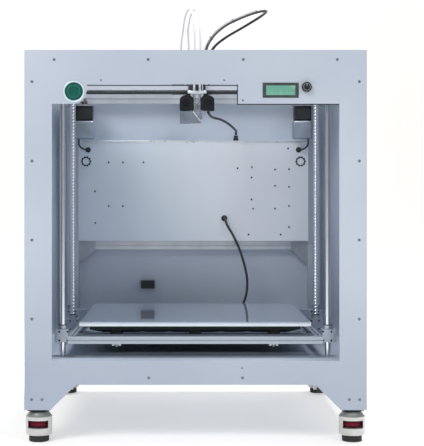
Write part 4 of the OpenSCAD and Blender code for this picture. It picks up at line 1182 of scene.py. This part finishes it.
def make_caster_mounts(m):
    """Steel mounting plates with their bolts, and the black necks under them."""
    plates, necks = bmesh.new(), bmesh.new()
    for corner in CORNERS:
        place = under("caster_foot_" + corner)
        add_box(plates, place, (-32, -32, 88), (32, 32, 94), 1.4)
        for u in (-25, 25):
            for v in (-25, 25):
                add_lathe(plates, [(0, 88.1), (4.6, 88.1), (4.6, 85), (4.2, 84.6), (0, 84.6)],
                          place + mm(u, v, 0), "Z", 6)
        add_lathe(necks, [(10.1, 80.3), (22.6, 80.3), (23.5, 81), (23.5, 83), (22.7, 83.5),
                          (22.7, 84.3), (23.5, 84.8), (23.5, 88.1), (10.1, 88.1),
                          (10.1, 80.3)], place, "Z", 64)
    fit("caster_mount_plates", plates, m["black"], "root", "steel", "caster_plates")
    fit("caster_necks", necks, m["rubber"], "root", "black_plastic")


def make_casters(m):
    for corner in CORNERS:
        place, node, body = under("caster_foot_" + corner), "caster_foot_" + corner, \
            "foot_" + corner
        turned("caster_pad_" + corner,
               [(0, 0), (24.6, 0), (25.6, 0.5), (26.8, 1.8), (27, 3), (27, 5), (26.2, 5.6),
                (26.2, 7), (27, 7.6), (27, 14.6), (25.8, 16.6), (23.8, 18), (0, 18)],
               place, m["rubber"], body, "Z", 72, slot="foot_rubber", stands_for=node)
        dial = bmesh.new()
        add_lathe(dial, [(0, 17.9), (7, 17.9), (7, 41.5), (0, 41.5)], place, "Z", 36)
        add_prism(dial, gear_outline(26, 1.1, 40), 42.4, 52.6, place)
        add_lathe(dial, [(0, 41), (23.6, 41), (24.9, 42.5), (0, 42.5)], place, "Z", 72)
        add_lathe(dial, [(0, 52.5), (24.9, 52.5), (23.6, 54), (0, 54)], place, "Z", 72)
        fit("caster_dial_" + corner, dial, m["dial_red"], body, "caster_grey", angle=30)


# ---------- plain CAD nodes ----------

def paint_nodes(m):
    paint(m["front"], "front_panel")
    paint(m["sheet"], "side_panel_left", "side_panel_right", "rear_panel")
    paint(m["inner"], "floor_panel")
    paint(m["profile"], "frame_profiles")
    paint(m["bracket"], "corner_brackets", "gantry_end_blocks")
    paint(m["cover"], "electronics_cover")
    paint(m["black"], "power_inlet", "power_rocker")
    paint(m["zinc"], "power_supply", "encoder_shaft")
    paint(m["board"], "control_board")
    paint(m["steel"], "y_rails", "z_guide_rods", "y_pulley_left", "y_pulley_right",
          "y_idler_left", "y_idler_right", "x_pulley", "x_idler")
    paint(m["rubber"], "y_belts", "x_belt")
    paint(m["profile_x"], "bed_frame")
    paint(m["profile_beam"], "gantry_beam")
    paint(m["plate"], "bed_plate")
    paint(m["glass"], "bed_glass")
    for corner in CORNERS:
        paint(m["grey_cast"], "caster_housing_" + corner)
        paint(m["rubber"], "caster_roller_" + corner)


make_camera()
materials = make_materials()
make_cords(materials)
make_lights()
make_floor()
for make in (make_cable_fittings, make_badge, make_display, make_knob, make_screws,
             make_hot_ends, make_blowers, make_fan_scrolls, make_carriage, make_edge_shadow_strips,
             make_head_strip, make_motors, make_lift_screws, make_feeders, make_levellers,
             make_bearing_details, make_cover_edges, make_beam_shade_strips, make_vent_rings,
             make_insulation, make_caster_mounts, make_casters, paint_nodes):
    make(materials)
